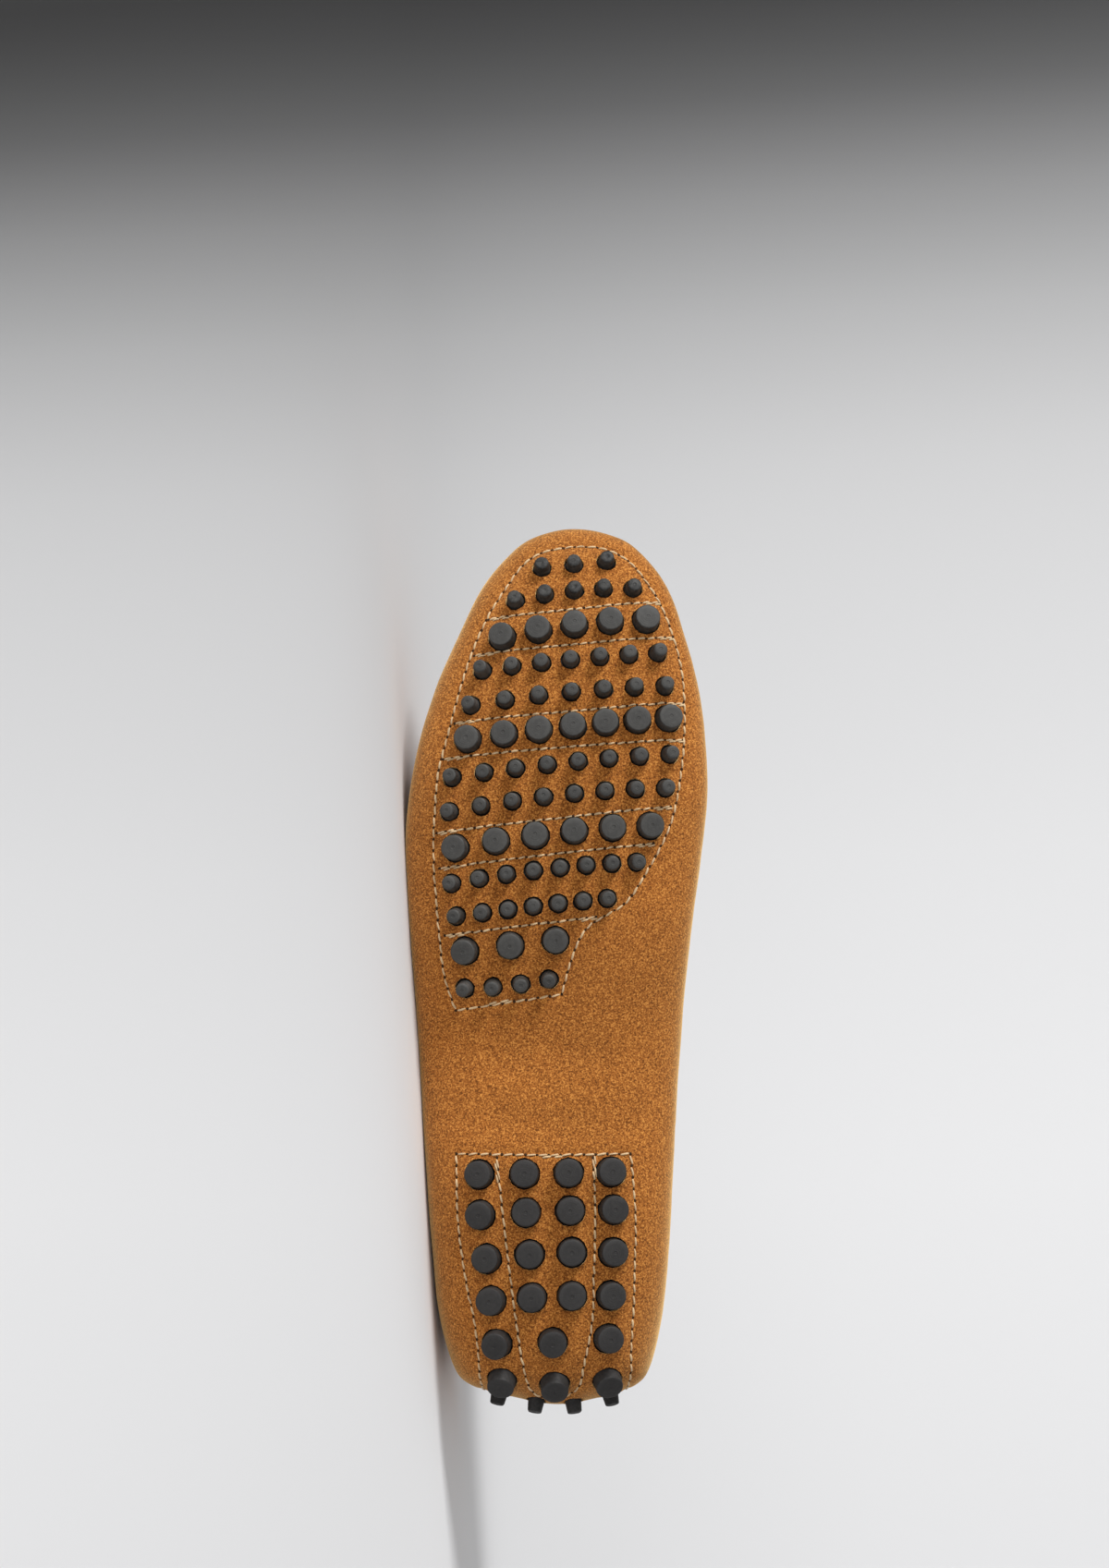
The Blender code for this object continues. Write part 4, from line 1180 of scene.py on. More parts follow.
@dataclass(frozen=True)
class Apron:
    """The apron over the toes and its tongue tab."""

    crown: float = 0.006
    dip: float = 0.001
    fullness: float = 0.85
    tongue_length: float = 0.028
    tongue_rise: float = 0.005
    tongue_width: float = 0.034
    tongue_round: float = 0.5
    tongue_taper: float = 0.24
    tongue_corner: float = 0.17
    tongue_spread: float = 1.5
    tongue_crown: float = 0.3
    tongue_square: float = 3.0
    hem_inset: int = 3
    hem_start: int = 4
    swell_share: float = 1.6
    swell_shift: tuple[float, float, float] = (0.1, 0.2, 0.3)
    rings: int = 24
    lip_steps: int = 3
    tongue_steps: int = 22

    def rows(self, last: Last) -> list[np.ndarray]:
        """Rows of points from the apron's lip to its middle line, each from throat to throat."""
        sizes = last.sizes
        first = last.throat_index
        final = 2 * last.toe_index - first
        rims = last.rims
        indices = np.arange(first, final + 1)
        tangent = rims[indices + 1] - rims[indices - 1]
        tangent[:, 2] = 0
        tangent /= np.linalg.norm(tangent, axis=1)[:, None]
        inward = np.column_stack([-tangent[:, 1], tangent[:, 0], np.zeros(len(indices))])
        feet = rims[indices] + (sizes.suede_wall + sizes.fit_gap + sizes.apron_wall) * inward
        spine = 0.5 * (rims[indices] + rims[indices[::-1]])
        spine[:, 0] = rims[indices, 0]
        spine[:, 2] += self.crown
        front = np.where(spine[:, 0] <= sizes.toe_centre * sizes.length)[0]
        half = len(indices) // 2
        edge_out, edge_in = front[front < half].max(), front[front >= half].min()
        spine[edge_out:edge_in + 1] = spine[edge_out]
        low = feet - np.array([0, 0, self.dip])
        lips = np.array([last.lip_height(last.stations[index]) for index in indices])
        found = []
        for step in range(self.lip_steps):
            share = step / self.lip_steps
            found.append(feet + np.outer((1 - share) * lips, [0, 0, 1]) - share * np.array([0, 0, self.dip]))
        for step in range(self.rings + 1):
            share = step / self.rings
            row = low + share * (spine - low)
            rise = math.sin(0.5 * math.pi * share) ** self.fullness
            row[:, 2] = low[:, 2] + (spine[:, 2] - low[:, 2]) * rise
            found.append(row)
        return found

    def build(self, last: Last, sewing: "Sewing", materials: list[bpy.types.Material]) -> bpy.types.Object:
        """Make the apron and its tab.

        Args:
            last: the form whose rim it fits.
            sewing: the needle and thread for the tab's hem.
            materials: outer and inner finish.

        Returns:
            The finished piece.
        """
        rows = self.rows(last)
        piece = laid_grid("apron_suede", np.array(rows).transpose(1, 0, 2), materials)
        base = np.concatenate([
            np.array([row[0] for row in rows[self.lip_steps:]]),
            np.array([row[-1] for row in rows[self.lip_steps:-1]])[::-1]])
        tongue = self.tongue_rows(base)
        tab = laid_grid("tongue_tab", tongue, materials)
        choose(piece)
        tab.select_set(True)
        bpy.ops.object.join()
        merge_doubles(piece)
        edit(piece, lambda: bpy.ops.mesh.normals_make_consistent(inside=False))
        normals = np.array([tuple(face.normal) for face in piece.data.polygons])
        if normals[:, 2].sum() < 0:
            edit(piece, bpy.ops.mesh.flip_normals)
        points = coordinates(piece)
        points[:, 2] += self.swell_share * Relief().uneven(points + np.array(self.swell_shift))
        move_to(piece, points)
        # the apron gets no painted shade
        set_values(piece, "painted_shade", np.zeros(len(points)))
        set_values(piece, "worn", np.zeros(len(points)))
        sewing.sew(Surface(piece, last.sizes), self.hem(tongue), CROSS_PITCH)
        apply_modifier(
            piece, "SOLIDIFY", thickness=last.sizes.apron_wall, offset=-1.0,
            use_even_offset=True, use_quality_normals=True, material_offset=1)
        smooth(piece)
        return finish_piece(piece, ["apron"])

    def hem(self, tongue: np.ndarray) -> list[Vector]:
        """Places along the tab's sewn edge: down one side, across and back up the other."""
        inset, start = self.hem_inset, self.hem_start
        line = [
            *tongue[start:-inset, inset], *tongue[-inset, inset + 1:-inset - 1],
            *tongue[start:-inset, -inset - 1][::-1]]
        return [Vector(place) for place in line]

    def tongue_rows(self, base: np.ndarray) -> np.ndarray:
        """Rows of points that carry the apron's rear edge on as a tab with round corners."""
        middle = base[len(base) // 2]
        start_half = 0.5 * (base[-1, 1] - base[0, 1])
        side = 2 * np.arange(len(base)) / (len(base) - 1) - 1
        rows = [base]
        for step in range(1, self.tongue_steps + 1):
            share = step / self.tongue_steps
            half = start_half + (0.5 * self.tongue_width - start_half) * min(1.0, self.tongue_spread * share)
            rounded = max(0.0, share - self.tongue_round) / (1 - self.tongue_round)
            half *= 1 - self.tongue_taper * rounded ** 2
            back = self.tongue_length * (share - self.tongue_corner * rounded * side ** 2)
            tuck = (1 - share) * (base[:, 2] - middle[2])
            start = base[:, 0] + min(1.0, self.tongue_square * share) * (middle[0] - base[:, 0])
            crown = -self.tongue_crown * half * side ** 2 * share
            rows.append(np.column_stack([
                start - back, middle[1] + side * half,
                middle[2] + tuck + crown + self.tongue_rise * share]))
        return np.array(rows)


def thread_shape(places: Iterable[tuple[float, float, float, float]]) -> Shape:
    """A short length of thread, swept along a curve.

    Args:
        places: each point of its middle line and its radius there.

    Returns:
        The thread's shape.
    """
    places = list(places)
    curve = bpy.data.curves.new("thread", "CURVE")
    curve.dimensions = "3D"
    curve.bevel_depth = 1.0
    curve.bevel_resolution = 1
    curve.use_fill_caps = True
    spline = curve.splines.new("POLY")
    spline.points.add(len(places) - 1)
    for point, (x, y, z, radius) in zip(spline.points, places):
        point.co = (x, y, z, 1)
        point.radius = radius
    thread = bpy.data.objects.new("thread", curve)
    bpy.context.scene.collection.objects.link(thread)
    choose(thread)
    bpy.ops.object.convert(target="MESH")
    merge_doubles(bpy.context.active_object)
    return shape_of(bpy.context.active_object)


@dataclass(frozen=True)
class ThreadSizes:
    """The sewing thread and the needle's holes."""

    seed: int = 29
    radius: float = 0.00034
    visible: float = 0.0031
    sink: float = 0.0004
    rise: float = 0.55
    rise_power: float = 0.6
    end_share: float = 0.62
    swell_power: float = 0.5
    steps: int = 6
    slant: float = 0.13
    slant_spread: float = 0.07
    length_spread: float = 0.06
    width_spread: float = 0.1
    hole_radius: float = 0.00050
    hole_height: float = 0.28
    hole_narrow: float = -0.15
    hole_wide: float = 0.25
    line_step: float = 0.0004
    tack_shift: float = 0.0006
    tack_ahead: float = 0.3


class Sewing:
    """All the sewn lines: short stitches, with small dark lenses of painted shade for the needle's holes
    between them.
    """

    def __init__(self, thread: list[bpy.types.Material], painted_hole_shade: list[bpy.types.Material]) -> None:
        """Model one stitch and one needle hole's dark lens of painted shade."""
        self.sizes = ThreadSizes()
        self.thread = thread
        self.painted_hole_shade = painted_hole_shade
        self.draw = random.Random(self.sizes.seed)
        self.stitch = self.stitch_shape()
        self.hole = self.hole_shape()
        self.stitches: list[tuple[Shape, Matrix]] = []
        self.holes: list[tuple[Shape, Matrix]] = []

    def stitch_shape(self) -> Shape:
        """One stitch, one unit long along X, that rises out of the suede and goes back in."""
        sizes = self.sizes
        places = []
        for step in range(sizes.steps + 1):
            share = step / sizes.steps
            bulge = math.sin(math.pi * share)
            height = -sizes.sink + (sizes.sink + sizes.rise * sizes.radius) * bulge ** sizes.rise_power
            width = sizes.end_share + (1 - sizes.end_share) * bulge ** sizes.swell_power
            places.append(((share - 0.5) * sizes.visible, 0.0, height, sizes.radius * width))
        return thread_shape(places)

    def hole_shape(self) -> Shape:
        """A needle hole, as a small dark lens on the suede: painted shade that stands in for the hole's
        recess.
        """
        deselect_all()
        bpy.ops.mesh.primitive_uv_sphere_add(segments=8, ring_count=4, radius=self.sizes.hole_radius)
        lens = bpy.context.active_object
        points = coordinates(lens)
        points[:, 2] *= self.sizes.hole_height
        move_to(lens, points)
        return shape_of(lens)

    def sew(self, surface: Surface, points: Iterable[Vector], pitch: float, tack: Tack = Tack.NONE) -> None:
        """Sew along a line on a surface.

        Args:
            surface: the face that the thread lies on.
            points: places that the line passes through.
            pitch: the length of one stitch and one gap.
            tack: where the stitches are doubled.
        """
        sizes = self.sizes
        line = dense_line(points, sizes.line_step)
        reach = np.linalg.norm(np.diff(line, axis=0), axis=1).sum()
        count = max(2, int(round(reach / pitch)))
        ends = [Vector(place) for place in even_points(line, 2 * count + 1)]
        doubled = {
            Tack.NONE: (), Tack.ENDS: (0, 1, count - 2, count - 1), Tack.MIDDLE: (count // 2, count // 2 + 1)}
        for number in range(count):
            start, middle, end = ends[2 * number], ends[2 * number + 1], ends[2 * number + 2]
            self.one(surface, start, middle, end)
            if number in doubled[tack]:
                side = (end - start).normalized().cross(surface.nearest(middle)[1])
                shift = sizes.tack_shift * side + sizes.tack_ahead * (end - start)
                self.one(surface, start + shift, middle + shift, end + shift)
        # a dark lens of painted shade at each needle hole
        for number in range(count + 1):
            point, outward = surface.nearest(ends[2 * number])
            wobble = 1 + self.draw.uniform(sizes.hole_narrow, sizes.hole_wide)
            place = upright(point, outward) @ Matrix.Diagonal((wobble, 1, 1, 1))
            self.holes.append((self.hole, place))

    def one(self, surface: Surface, start: Vector, middle: Vector, end: Vector) -> None:
        """Lay one stitch, a little slanted and uneven."""
        point, outward = surface.nearest(middle)
        ahead = (end - start).normalized()
        side = outward.cross(ahead)
        sizes = self.sizes
        slant = sizes.slant + self.draw.uniform(-sizes.slant_spread, sizes.slant_spread)
        place = upright(point, outward, ahead + slant * side)
        stretch = 1 + self.draw.uniform(-sizes.length_spread, sizes.length_spread)
        longer = (end - start).length / OUTLINE_PITCH * stretch
        wider = 1 + self.draw.uniform(-sizes.width_spread, sizes.width_spread)
        self.stitches.append((self.stitch, place @ Matrix.Diagonal((longer, wider, 1, 1))))

    def build(self, name: str) -> None:
        """Join what was sewn into two pieces, the thread and the needle holes' dark lenses of painted shade.
        """
        for suffix, shapes, materials in (
                ("stitches", self.stitches, self.thread), ("needle_hole_shades", self.holes, self.painted_hole_shade)):
            piece = copies(f"{name}_{suffix}", shapes, materials)
            smooth(piece, 60)
            finish_piece(piece)
        self.stitches, self.holes = [], []


@dataclass(frozen=True)
class Trim:
    """The lines of stitches that finish the collar and the back seam."""

    pitch: float = CROSS_PITCH
    collar_depth: float = 0.0040
    collar_gap: int = 3
    collar_stride: int = 4
    seam_places: int = 6
    seam_station: int = 1
    seam_low: float = 0.0235
    seam_high: float = 0.0065

    def sew(self, sewing: Sewing, upper: Upper) -> None:
        """Sew both lines.

        Args:
            sewing: the needle and thread.
            upper: the suede body that they go through.
        """
        last = upper.last
        collar = last.collar(self.collar_depth)[self.collar_gap:-self.collar_gap:self.collar_stride]
        sewing.sew(upper.skin, [Vector(place) for place in collar], self.pitch)
        for station in (self.seam_station, -1 - self.seam_station):
            line = [
                Vector(last.under_rim(depth)[station])
                for depth in np.linspace(self.seam_high, self.seam_low, self.seam_places)]
            sewing.sew(upper.skin, line, self.pitch)


@dataclass(frozen=True)
class SeamThread:
    """The thick thread whipped over the raised seam round the toe."""

    pitch: float = 0.0044
    radius: float = 0.00050
    gap: int = 4
    down: float = 0.0022
    over: float = 0.0006
    over_share: float = 0.6
    side_share: float = 0.5
    slant: float = 0.0016
    sink: float = 0.0002
    tuck: float = 0.72
    squareness: float = 0.55
    steps: tuple[float, ...] = (0.0, 0.12, 0.3, 0.5, 0.7, 0.88, 1.0)

    def build(self, last: Last, materials: list[bpy.types.Material]) -> bpy.types.Object:
        """Whip the seam from throat to throat."""
        first = last.throat_index + self.gap
        final = 2 * last.toe_index - first
        line = last.rims[first:final + 1]
        reach = np.linalg.norm(np.diff(line, axis=0), axis=1).sum()
        count = int(round(reach / self.pitch))
        places = even_points(line, count + 1)
        lips = np.array([last.lip_height(row) for row in last.stations[first:final + 1]])
        lips = np.interp(np.linspace(0, 1, count + 1), np.linspace(0, 1, len(lips)), lips)
        sizes = last.sizes
        width = sizes.suede_wall + sizes.fit_gap + sizes.apron_wall
        shapes = []
        for number in range(1, count):
            ahead = Vector(places[number + 1] - places[number - 1])
            ahead.z = 0
            ahead.normalize()
            inward = Vector((-ahead.y, ahead.x, 0))
            turn = Matrix((ahead, inward, Vector((0, 0, 1)))).transposed().to_4x4()
            shapes.append((self.loop(width, lips[number]), Matrix.Translation(Vector(places[number])) @ turn))
        piece = copies("seam_stitches", shapes, materials)
        smooth(piece, 60)
        return finish_piece(piece)

    def loop(self, width: float, lip: float) -> Shape:
        """One turn of thread over both lips of the seam."""
        low = lip - self.down
        top = lip + self.over * self.over_share
        half = 0.5 * width
        reach = half + self.over * self.side_share
        line = []
        for share in self.steps:
            turn = math.pi * share
            if 0 < share < 1:
                y = half - reach * math.cos(turn)
                z = low + (top - low) * math.sin(turn) ** self.squareness
            else:
                y = half - reach * self.tuck * math.cos(turn)
                z = low - self.sink
            line.append((self.slant * (share - 0.5), y, z, self.radius))
        return thread_shape(line)


class Graph:
    """Adds and joins nodes in one node tree."""

    def __init__(self, tree: bpy.types.NodeTree) -> None:
        """Work in this tree."""
        self.tree = tree

    def add(
            self, kind: str, inputs: dict[str | int, object] | None = None,
            **settings: object) -> bpy.types.Node:
        """Add a node.

        Args:
            kind: the node's type.
            inputs: values or outputs of other nodes for its inputs.
            settings: its own settings.

        Returns:
            The node.
        """
        node = self.tree.nodes.new(kind)
        for name, value in settings.items():
            setattr(node, name, value)
        for name, value in (inputs or {}).items():
            if isinstance(value, bpy.types.NodeSocket):
                self.tree.links.new(value, node.inputs[name])
            else:
                node.inputs[name].default_value = value
        return node

    def math(self, operation: str, first: object, second: object = 0.0) -> bpy.types.NodeSocket:
        """The result of a sum on two values."""
        return self.add("ShaderNodeMath", {0: first, 1: second}, operation=operation).outputs[0]

    def mix(self, factor: object, first: object, second: object, blend: str = "MIX") -> bpy.types.NodeSocket:
        """A blend of two colours."""
        node = self.add("ShaderNodeMix", {0: factor, 6: first, 7: second}, data_type="RGBA", blend_type=blend)
        return node.outputs[2]

    def noise(
            self, vector: object, scale: object, detail: float = 2.0,
            rough: float = 0.5) -> bpy.types.NodeSocket:
        """A noise between 0 and 1."""
        node = self.add("ShaderNodeTexNoise", {
            "Vector": vector, "Scale": scale, "Detail": detail, "Roughness": rough})
        return node.outputs["Fac"]

    def spread(
            self, value: object, low: float, high: float, start: float = 0.0,
            end: float = 1.0) -> bpy.types.NodeSocket:
        """A value's range stretched from low and high to start and end."""
        node = self.add("ShaderNodeMapRange", {
            "Value": value, "From Min": low, "From Max": high, "To Min": start, "To Max": end})
        return node.outputs["Result"]

    def attribute(self, name: str) -> bpy.types.NodeSocket:
        """The number that the mesh holds under a name."""
        return self.add("ShaderNodeAttribute", attribute_name=name).outputs["Fac"]


def new_group(
        name: str, inputs: dict[str, tuple[str, object]], outputs: dict[str, str]) -> bpy.types.NodeTree:
    """A node group with named inputs and outputs.

    Args:
        name: the group's name.
        inputs: each input's socket type and first value.
        outputs: each output's socket type.

    Returns:
        The group, with its input and output nodes.
    """
    group = bpy.data.node_groups.new(name, "ShaderNodeTree")
    for label, (kind, value) in inputs.items():
        socket = group.interface.new_socket(label, in_out="INPUT", socket_type=kind)
        socket.default_value = value
    for label, kind in outputs.items():
        group.interface.new_socket(label, in_out="OUTPUT", socket_type=kind)
    group.nodes.new("NodeGroupInput")
    group.nodes.new("NodeGroupOutput")
    return group


FLOAT, COLOUR, VECTOR = "NodeSocketFloat", "NodeSocketColor", "NodeSocketVector"


def nap_group() -> bpy.types.NodeTree:
    """The nap of suede: fine grain in two sizes, clumps, mottle and broad patches."""
    group = new_group(
        "suede_nap",
        {"Vector": (VECTOR, (0, 0, 0)), "Base": (COLOUR, (0.4, 0.2, 0.06, 1)),
         "Deep": (COLOUR, (0.2, 0.08, 0.02, 1)), "Bright": (COLOUR, (0.6, 0.35, 0.13, 1)),
         "Grain": (FLOAT, 1300.0)},
        {"Color": COLOUR, "Height": FLOAT})
    graph = Graph(group)
    source = group.nodes["Group Input"].outputs
    fine = graph.noise(source["Vector"], source["Grain"], 2.0, 0.6)
    finer = graph.noise(source["Vector"], graph.math("MULTIPLY", source["Grain"], 1.9), 1.0, 0.5)
    clump = graph.noise(source["Vector"], 480.0, 1.0)
    patch = graph.noise(source["Vector"], 24.0, 3.0)
    mottle = graph.noise(source["Vector"], 105.0, 2.0, 0.6)
    grain = graph.math("ADD", graph.math("MULTIPLY", fine, 0.62), graph.math("MULTIPLY", finer, 0.32))
    grain = graph.math("ADD", grain, graph.math("MULTIPLY", clump, 0.06))
    dark = graph.spread(grain, 0.50, 0.385)
    light = graph.spread(grain, 0.51, 0.625)
    colour = graph.mix(graph.math("MULTIPLY", dark, 0.95), source["Base"], source["Deep"])
    colour = graph.mix(graph.math("MULTIPLY", light, 0.95), colour, source["Bright"])
    tone = graph.math(
        "ADD", graph.spread(patch, 0.3, 0.7, 0.93, 1.06), graph.spread(mottle, 0.3, 0.7, -0.03, 0.03))
    grey = graph.add("ShaderNodeCombineColor", {"Red": tone, "Green": tone, "Blue": tone}).outputs[0]
    colour = graph.mix(1.0, colour, grey, "MULTIPLY")
    target = group.nodes["Group Output"].inputs
    group.links.new(colour, target["Color"])
    group.links.new(grain, target["Height"])
    return group


def speckle_group() -> bpy.types.NodeTree:
    """Fine speckles and faint smears, for rubber, leather and thread."""
    group = new_group(
        "speckle",
        {"Vector": (VECTOR, (0, 0, 0)), "Base": (COLOUR, (0.05, 0.05, 0.05, 1)),
         "Dust": (COLOUR, (0.1, 0.1, 0.1, 1)), "Scale": (FLOAT, 900.0), "Smear": (FLOAT, 90.0)},
        {"Color": COLOUR, "Height": FLOAT, "Roughness": FLOAT})
    graph = Graph(group)
    source = group.nodes["Group Input"].outputs
    fine = graph.add("ShaderNodeTexNoise", {
        "Vector": source["Vector"], "Scale": source["Scale"], "Detail": 3.0, "Roughness": 0.6}).outputs["Fac"]
    broad = graph.add("ShaderNodeTexNoise", {
        "Vector": source["Vector"], "Scale": source["Smear"], "Detail": 2.0, "Roughness": 0.5}).outputs["Fac"]
    amount = graph.math(
        "ADD", graph.spread(fine, 0.42, 0.70, 0.0, 0.6), graph.spread(broad, 0.40, 0.70, 0.0, 0.5))
    colour = graph.mix(amount, source["Base"], source["Dust"])
    target = group.nodes["Group Output"].inputs
    group.links.new(colour, target["Color"])
    group.links.new(fine, target["Height"])
    group.links.new(graph.spread(broad, 0.3, 0.7, 0.52, 0.68), target["Roughness"])
    return group


class NodeLibrary:
    """The node groups that more than one finish uses, built once."""

    def __init__(self) -> None:
        """Build the groups."""
        self.nap = nap_group()
        self.speckle = speckle_group()


def set_inputs(node: bpy.types.Node, values: dict[str, object]) -> None:
    """Give a node's sockets their fixed values."""
    for label, value in values.items():
        node.inputs[label].default_value = value


def new_material(name: str) -> tuple[bpy.types.Material, Graph, bpy.types.Node]:
    """A material with its graph and its Principled shader."""
    material = bpy.data.materials.new(name)
    material.use_nodes = True
    tree = material.node_tree
    return material, Graph(tree), tree.nodes["Principled BSDF"]


@dataclass(frozen=True)
class SuedeFinish:
    """Napped suede in one colour."""

    name: str
    base: tuple[float, float, float]
    deep: tuple[float, float, float]
    bright: tuple[float, float, float]
    sheen: float = 1.0
    grain: float = 1650.0
    bump: float = 0.00030
    marked: bool = True
    bump_strength: float = 0.9
    painted_shade_share: float = 0.06
    worn_share: float = 0.5
    roughness: float = 0.95
    specular: float = 0.15
    sheen_roughness: float = 0.45
    sheen_tint: tuple[float, float, float] = (1.0, 0.69, 0.31)

    def build(self, library: NodeLibrary) -> bpy.types.Material:
        """Make the material."""
        material, graph, shader = new_material(self.name)
        place = graph.add("ShaderNodeTexCoord").outputs["Object"]
        nap = graph.add("ShaderNodeGroup", node_tree=library.nap)
        material.node_tree.links.new(place, nap.inputs["Vector"])
        set_inputs(nap, {
            "Base": (*self.base, 1), "Deep": (*self.deep, 1), "Bright": (*self.bright, 1),
            "Grain": self.grain})
        colour = nap.outputs["Color"]
        if self.marked:
            # painted shade: the colour is mixed towards the deep tone beside the pegs and in the sewn lines
            painted_shade = graph.math("MULTIPLY", graph.attribute("painted_shade"), self.painted_shade_share)
            colour = graph.mix(painted_shade, colour, (*self.deep, 1))
            worn = graph.math("MULTIPLY", graph.attribute("worn"), self.worn_share)
            colour = graph.mix(worn, colour, (*self.bright, 1))
        bump = graph.add("ShaderNodeBump", {
            "Height": nap.outputs["Height"], "Strength": self.bump_strength, "Distance": self.bump})
        links = material.node_tree.links
        links.new(colour, shader.inputs["Base Color"])
        links.new(bump.outputs["Normal"], shader.inputs["Normal"])
        set_inputs(shader, {
            "Roughness": self.roughness, "Specular IOR Level": self.specular, "Sheen Weight": self.sheen,
            "Sheen Roughness": self.sheen_roughness, "Sheen Tint": (*self.sheen_tint, 1)})
        return material


@dataclass(frozen=True)
class SpeckledFinish:
    """A plain finish with speckles: rubber, leather or thread."""

    name: str
    base: tuple[float, float, float]
    dust: tuple[float, float, float]
    scale: float = 900.0
    smear: float = 90.0
    bump: float = 0.00004
    specular: float = 0.4
    sheen: float = 0.0
    rings: bool = False
    ring_rate: float = 9000.0
    ring_height: float = 0.25
    face_dust: float = 0.55
    rim_dust: float = 0.4
    rim_shade: float = 1.3
    bump_strength: float = 0.8

    def build(self, library: NodeLibrary) -> bpy.types.Material:
        """Make the material."""
        material, graph, shader = new_material(self.name)
        place = graph.add("ShaderNodeTexCoord").outputs["Object"]
        speckle = graph.add("ShaderNodeGroup", node_tree=library.speckle)
        links = material.node_tree.links
        links.new(place, speckle.inputs["Vector"])
        set_inputs(speckle, {
            "Base": (*self.base, 1), "Dust": (*self.dust, 1), "Scale": self.scale, "Smear": self.smear})
        colour, height = speckle.outputs["Color"], speckle.outputs["Height"]
        if self.rings:
            face = graph.attribute("face")
            turns = graph.math("SINE", graph.math("MULTIPLY", graph.attribute("radius"), self.ring_rate))
            height = graph.math("ADD", height, graph.math(
                "MULTIPLY", graph.math("MULTIPLY", turns, face), self.ring_height))
            colour = graph.mix(graph.math("MULTIPLY", face, self.face_dust), colour, (*self.dust, 1))
            rim = graph.math("MULTIPLY", graph.attribute("rim"), self.rim_dust)
            colour = graph.mix(rim, colour, (*[self.rim_shade * value for value in self.dust], 1))
        bump = graph.add("ShaderNodeBump", {
            "Height": height, "Strength": self.bump_strength, "Distance": self.bump})
        links.new(colour, shader.inputs["Base Color"])
        links.new(speckle.outputs["Roughness"], shader.inputs["Roughness"])
        links.new(bump.outputs["Normal"], shader.inputs["Normal"])
        set_inputs(shader, {"Specular IOR Level": self.specular, "Sheen Weight": self.sheen})
        return material


FINISHES = (
    SuedeFinish("golden_suede", (0.348, 0.112, 0.0185), (0.115, 0.033, 0.005), (0.67, 0.285, 0.062)),
    SuedeFinish("flesh_side", (0.36, 0.20, 0.09), (0.24, 0.12, 0.05), (0.48, 0.30, 0.15), marked=False),
    SpeckledFinish(
        "sole_rubber", (0.016, 0.016, 0.0155), (0.070, 0.068, 0.064), specular=0.25, rings=True),
    SpeckledFinish(
        "heel_rubber_black", (0.014, 0.0135, 0.0135), (0.038, 0.036, 0.035), specular=0.22, rings=True),
    SpeckledFinish("sock_leather", (0.40, 0.23, 0.10), (0.33, 0.18, 0.07), scale=1500.0, bump=0.0001),
    SpeckledFinish(
        "cream_thread", (0.72, 0.53, 0.31), (0.50, 0.33, 0.16), scale=2500.0, smear=400.0, specular=0.2,
        sheen=0.3),
    # painted shade: the dark finish of the lenses that stand in for the needle holes
    SpeckledFinish("needle_hole_shade", (0.030, 0.014, 0.006), (0.06, 0.03, 0.012), specular=0.1))


@dataclass(frozen=True)
class PaperFinish:
    """The cove's pale paper, with a painted falloff of light: its colour darkens to grey beyond the toe,
    standing in for light that falls off there.
    """

    middle: float = 0.015
    spread: float = 0.675
    toe_end: float = -0.35
    heel_end: float = 0.06
    painted_falloff_tones: tuple[tuple[float, float], ...] = (
        (-0.35, 0.028), (-0.305, 0.098), (-0.27, 0.25), (-0.23, 0.41), (-0.18, 0.58), (-0.12, 0.64),
        (-0.05, 0.71), (0.06, 0.80))

    def build(self) -> bpy.types.Material:
        """Make the material."""
        material, graph, shader = new_material("cove_paper")
        place = graph.add("ShaderNodeTexCoord").outputs["Object"]
        split = graph.add("ShaderNodeSeparateXYZ", {0: place}).outputs
        widening = graph.math("ADD", graph.math("MULTIPLY", split[1], self.spread), 1.0)
        along = graph.math("DIVIDE", graph.math("SUBTRACT", split[0], self.middle), widening)
        # painted shade: the paper's colour runs from near black beyond the toe to pale towards the heel, in
        # place of light falloff
        ramp = graph.add("ShaderNodeValToRGB", {"Fac": graph.spread(along, self.toe_end, self.heel_end)})
        ramp.color_ramp.interpolation = "B_SPLINE"
        for number, (reach, tone) in enumerate(self.painted_falloff_tones):
            share = (reach - self.toe_end) / (self.heel_end - self.toe_end)
            stops = ramp.color_ramp.elements
            stop = stops[number] if number < 2 else stops.new(share)
            stop.position = share
            stop.color = (tone, tone, 1.01 * tone, 1)
        material.node_tree.links.new(ramp.outputs["Color"], shader.inputs["Base Color"])
        set_inputs(shader, {"Roughness": 0.95, "Specular IOR Level": 0.1})
        return material


class Lamp(NamedTuple):
    """A soft area light: its place, size and power."""

    name: str
    place: tuple[float, float, float]
    size: float
    power: float


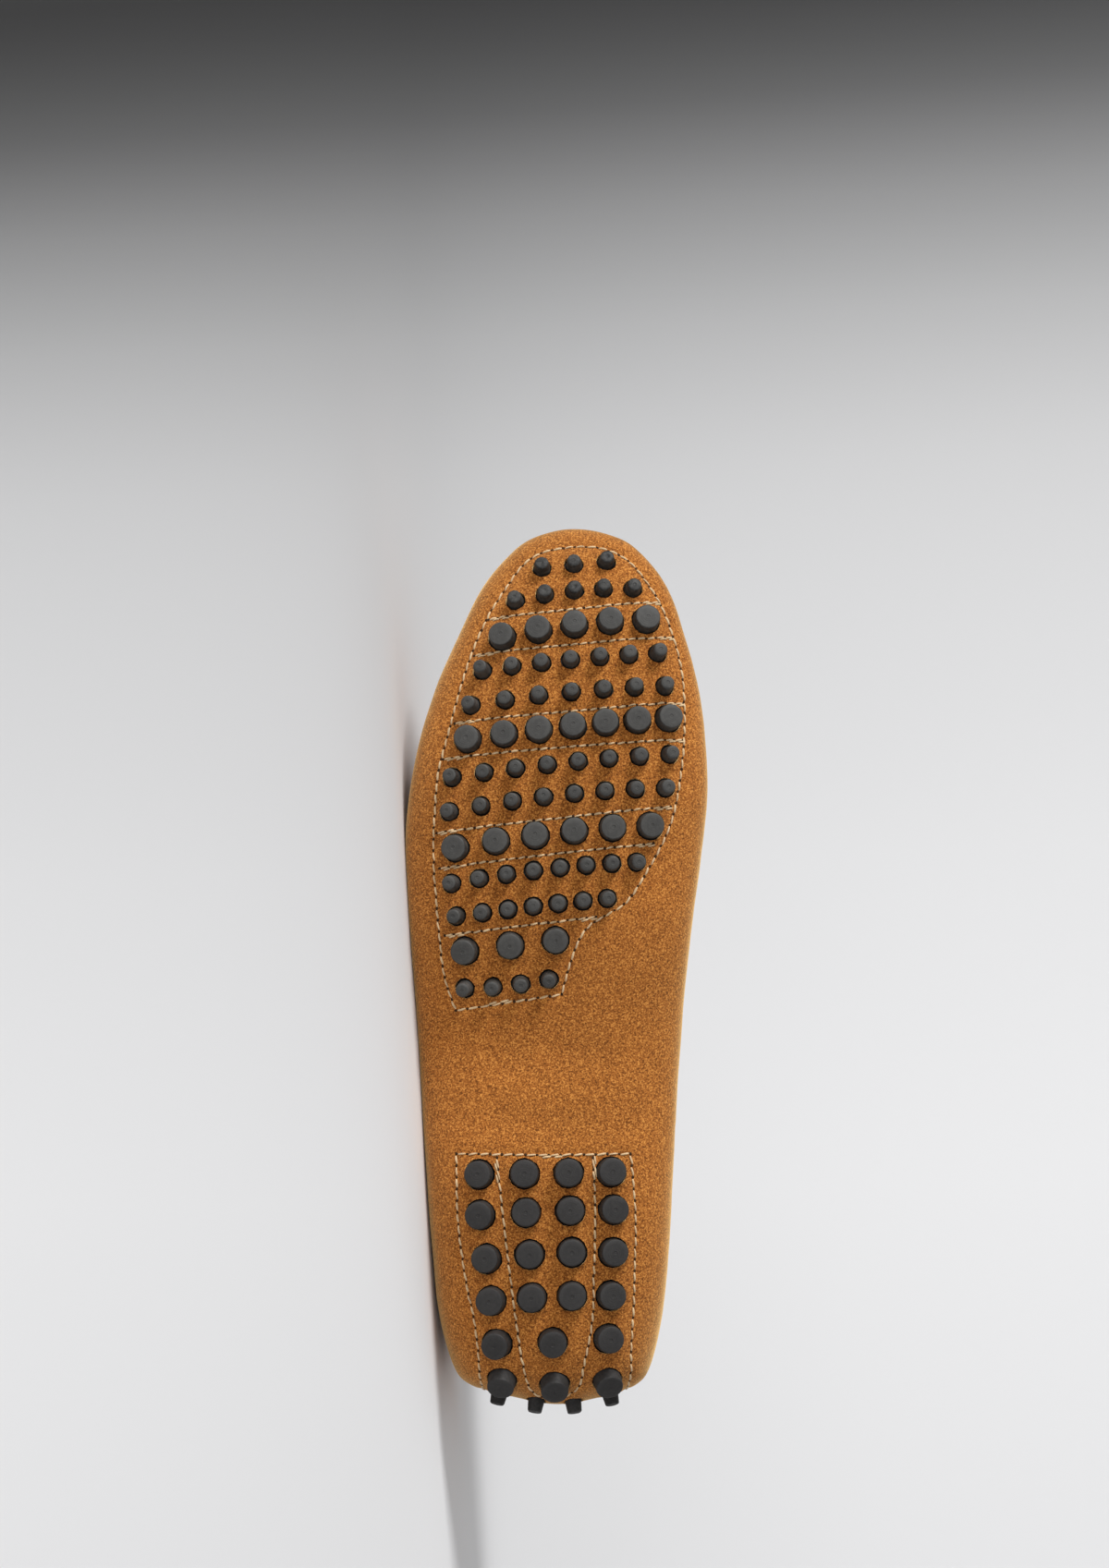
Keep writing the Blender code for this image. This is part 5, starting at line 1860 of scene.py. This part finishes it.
@dataclass(frozen=True)
class Studio:
    """The pale cove that the shoe lies in, its soft light and the camera."""

    floor_depth: float = 0.10
    cove_radius: float = 0.9
    cove_height: float = 1.8
    half_width: float = 2.2
    front: float = -2.4
    lens: float = 104.5
    sensor: float = 36.0
    eye: tuple[float, float, float] = (0.1275, -0.0009, -1.4845)
    tilt: float = 2.92
    cove_steps: int = 24
    sky: float = 0.46
    aim: tuple[float, float, float] = (0.0, 0.0, 0.05)
    lamps: tuple[Lamp, ...] = (
        Lamp("key", (-2.95, -1.20, 1.75), 1.1, 128.0),
        Lamp("fill", (0.8, -3.2, 1.2), 2.5, 5.0),
        Lamp("low", (-1.50, -2.40, 0.14), 0.9, 20.0))

    def build(self) -> None:
        """Make the stage, the lights and the camera."""
        self.cove()
        self.camera()
        bpy.context.scene.view_settings.view_transform = "Standard"
        for lamp in self.lamps:
            self.light(lamp)
        world = bpy.data.worlds.new("studio")
        bpy.context.scene.world = world
        world.use_nodes = True
        background = world.node_tree.nodes["Background"]
        background.inputs["Color"].default_value = (1.0, 1.0, 1.0, 1.0)
        background.inputs["Strength"].default_value = self.sky

    def cove(self) -> None:
        """A floor that curves up into a wall behind the shoe."""
        line = [(self.front, 0.0), (self.floor_depth, 0.0)]
        for step in range(1, self.cove_steps + 1):
            turn = 0.5 * math.pi * step / self.cove_steps
            line.append((
                self.floor_depth + self.cove_radius * math.sin(turn),
                self.cove_radius * (1 - math.cos(turn))))
        line.append((self.floor_depth + self.cove_radius, self.cove_height))
        places = np.linspace(-self.half_width, self.half_width, 3)
        columns = np.array([[(x, y, z) for y, z in line] for x in places])
        cove = laid_grid("cove", columns, [PaperFinish().build()])
        smooth(cove, 60)

    def light(self, lamp: Lamp) -> None:
        """One soft area light that looks at the middle of the shoe."""
        data = bpy.data.lights.new(lamp.name, "AREA")
        data.size = lamp.size
        data.energy = lamp.power
        light = bpy.data.objects.new(lamp.name, data)
        bpy.context.scene.collection.objects.link(light)
        light.location = lamp.place
        ahead = Vector(self.aim) - Vector(lamp.place)
        light.rotation_euler = ahead.to_track_quat("-Z", "Y").to_euler()

    def camera(self) -> None:
        """The photo's view of the sole: toe up in the picture, so the camera is rolled."""
        data = bpy.data.cameras.new("camera")
        data.lens = self.lens
        data.sensor_width = self.sensor
        data.clip_start = 0.05
        data.clip_end = 20
        camera = bpy.data.objects.new("camera", data)
        bpy.context.scene.collection.objects.link(camera)
        tilt = math.radians(self.tilt)
        ahead = Vector((math.sin(tilt), 0, math.cos(tilt)))
        up = Vector((math.cos(tilt), 0, -math.sin(tilt)))
        turn = Matrix((ahead.cross(up), up, -ahead)).transposed().to_4x4()
        camera.matrix_world = LYING @ Matrix.Translation(Vector(self.eye)) @ turn
        bpy.context.scene.camera = camera


def main() -> None:
    """Build the shoe, its stage, its light and the camera."""
    logging.basicConfig(level=logging.INFO, format="%(name)s: %(message)s")
    library = NodeLibrary()
    suede, flesh, sole_rubber, heel_rubber, leather, thread, painted_hole_shade = (
        finish.build(library) for finish in FINISHES)

    last = Last(SIZES)
    upper = Upper(last, [suede, flesh])
    pegs = Pegs(upper.surface)
    upper.shape(pegs, Relief())
    sewing = Sewing([thread], [painted_hole_shade])
    for line in SOLE_STITCHES:
        points = [upper.surface.place(*place)[0] for place in line.places]
        sewing.sew(upper.skin, points, line.pitch, line.tack)
    sewing.build("sole")
    Trim().sew(sewing, upper)
    Apron().build(last, sewing, [suede, flesh])
    sewing.build("trim")
    upper.build(pegs)
    forefoot = Pad("forefoot_rubber", "forefoot_pad", FOREFOOT_SHEET)
    forefoot.build(upper.surface, pegs, pegs.forefoot, sole_rubber)
    Pad("heel_rubber", "heel_pad", HEEL_SHEET).build(upper.surface, pegs, pegs.heel, heel_rubber)
    Insole().build(upper.surface, leather)
    SeamThread().build(last, [thread])
    Studio().build()


if __name__ == "__main__":
    main()
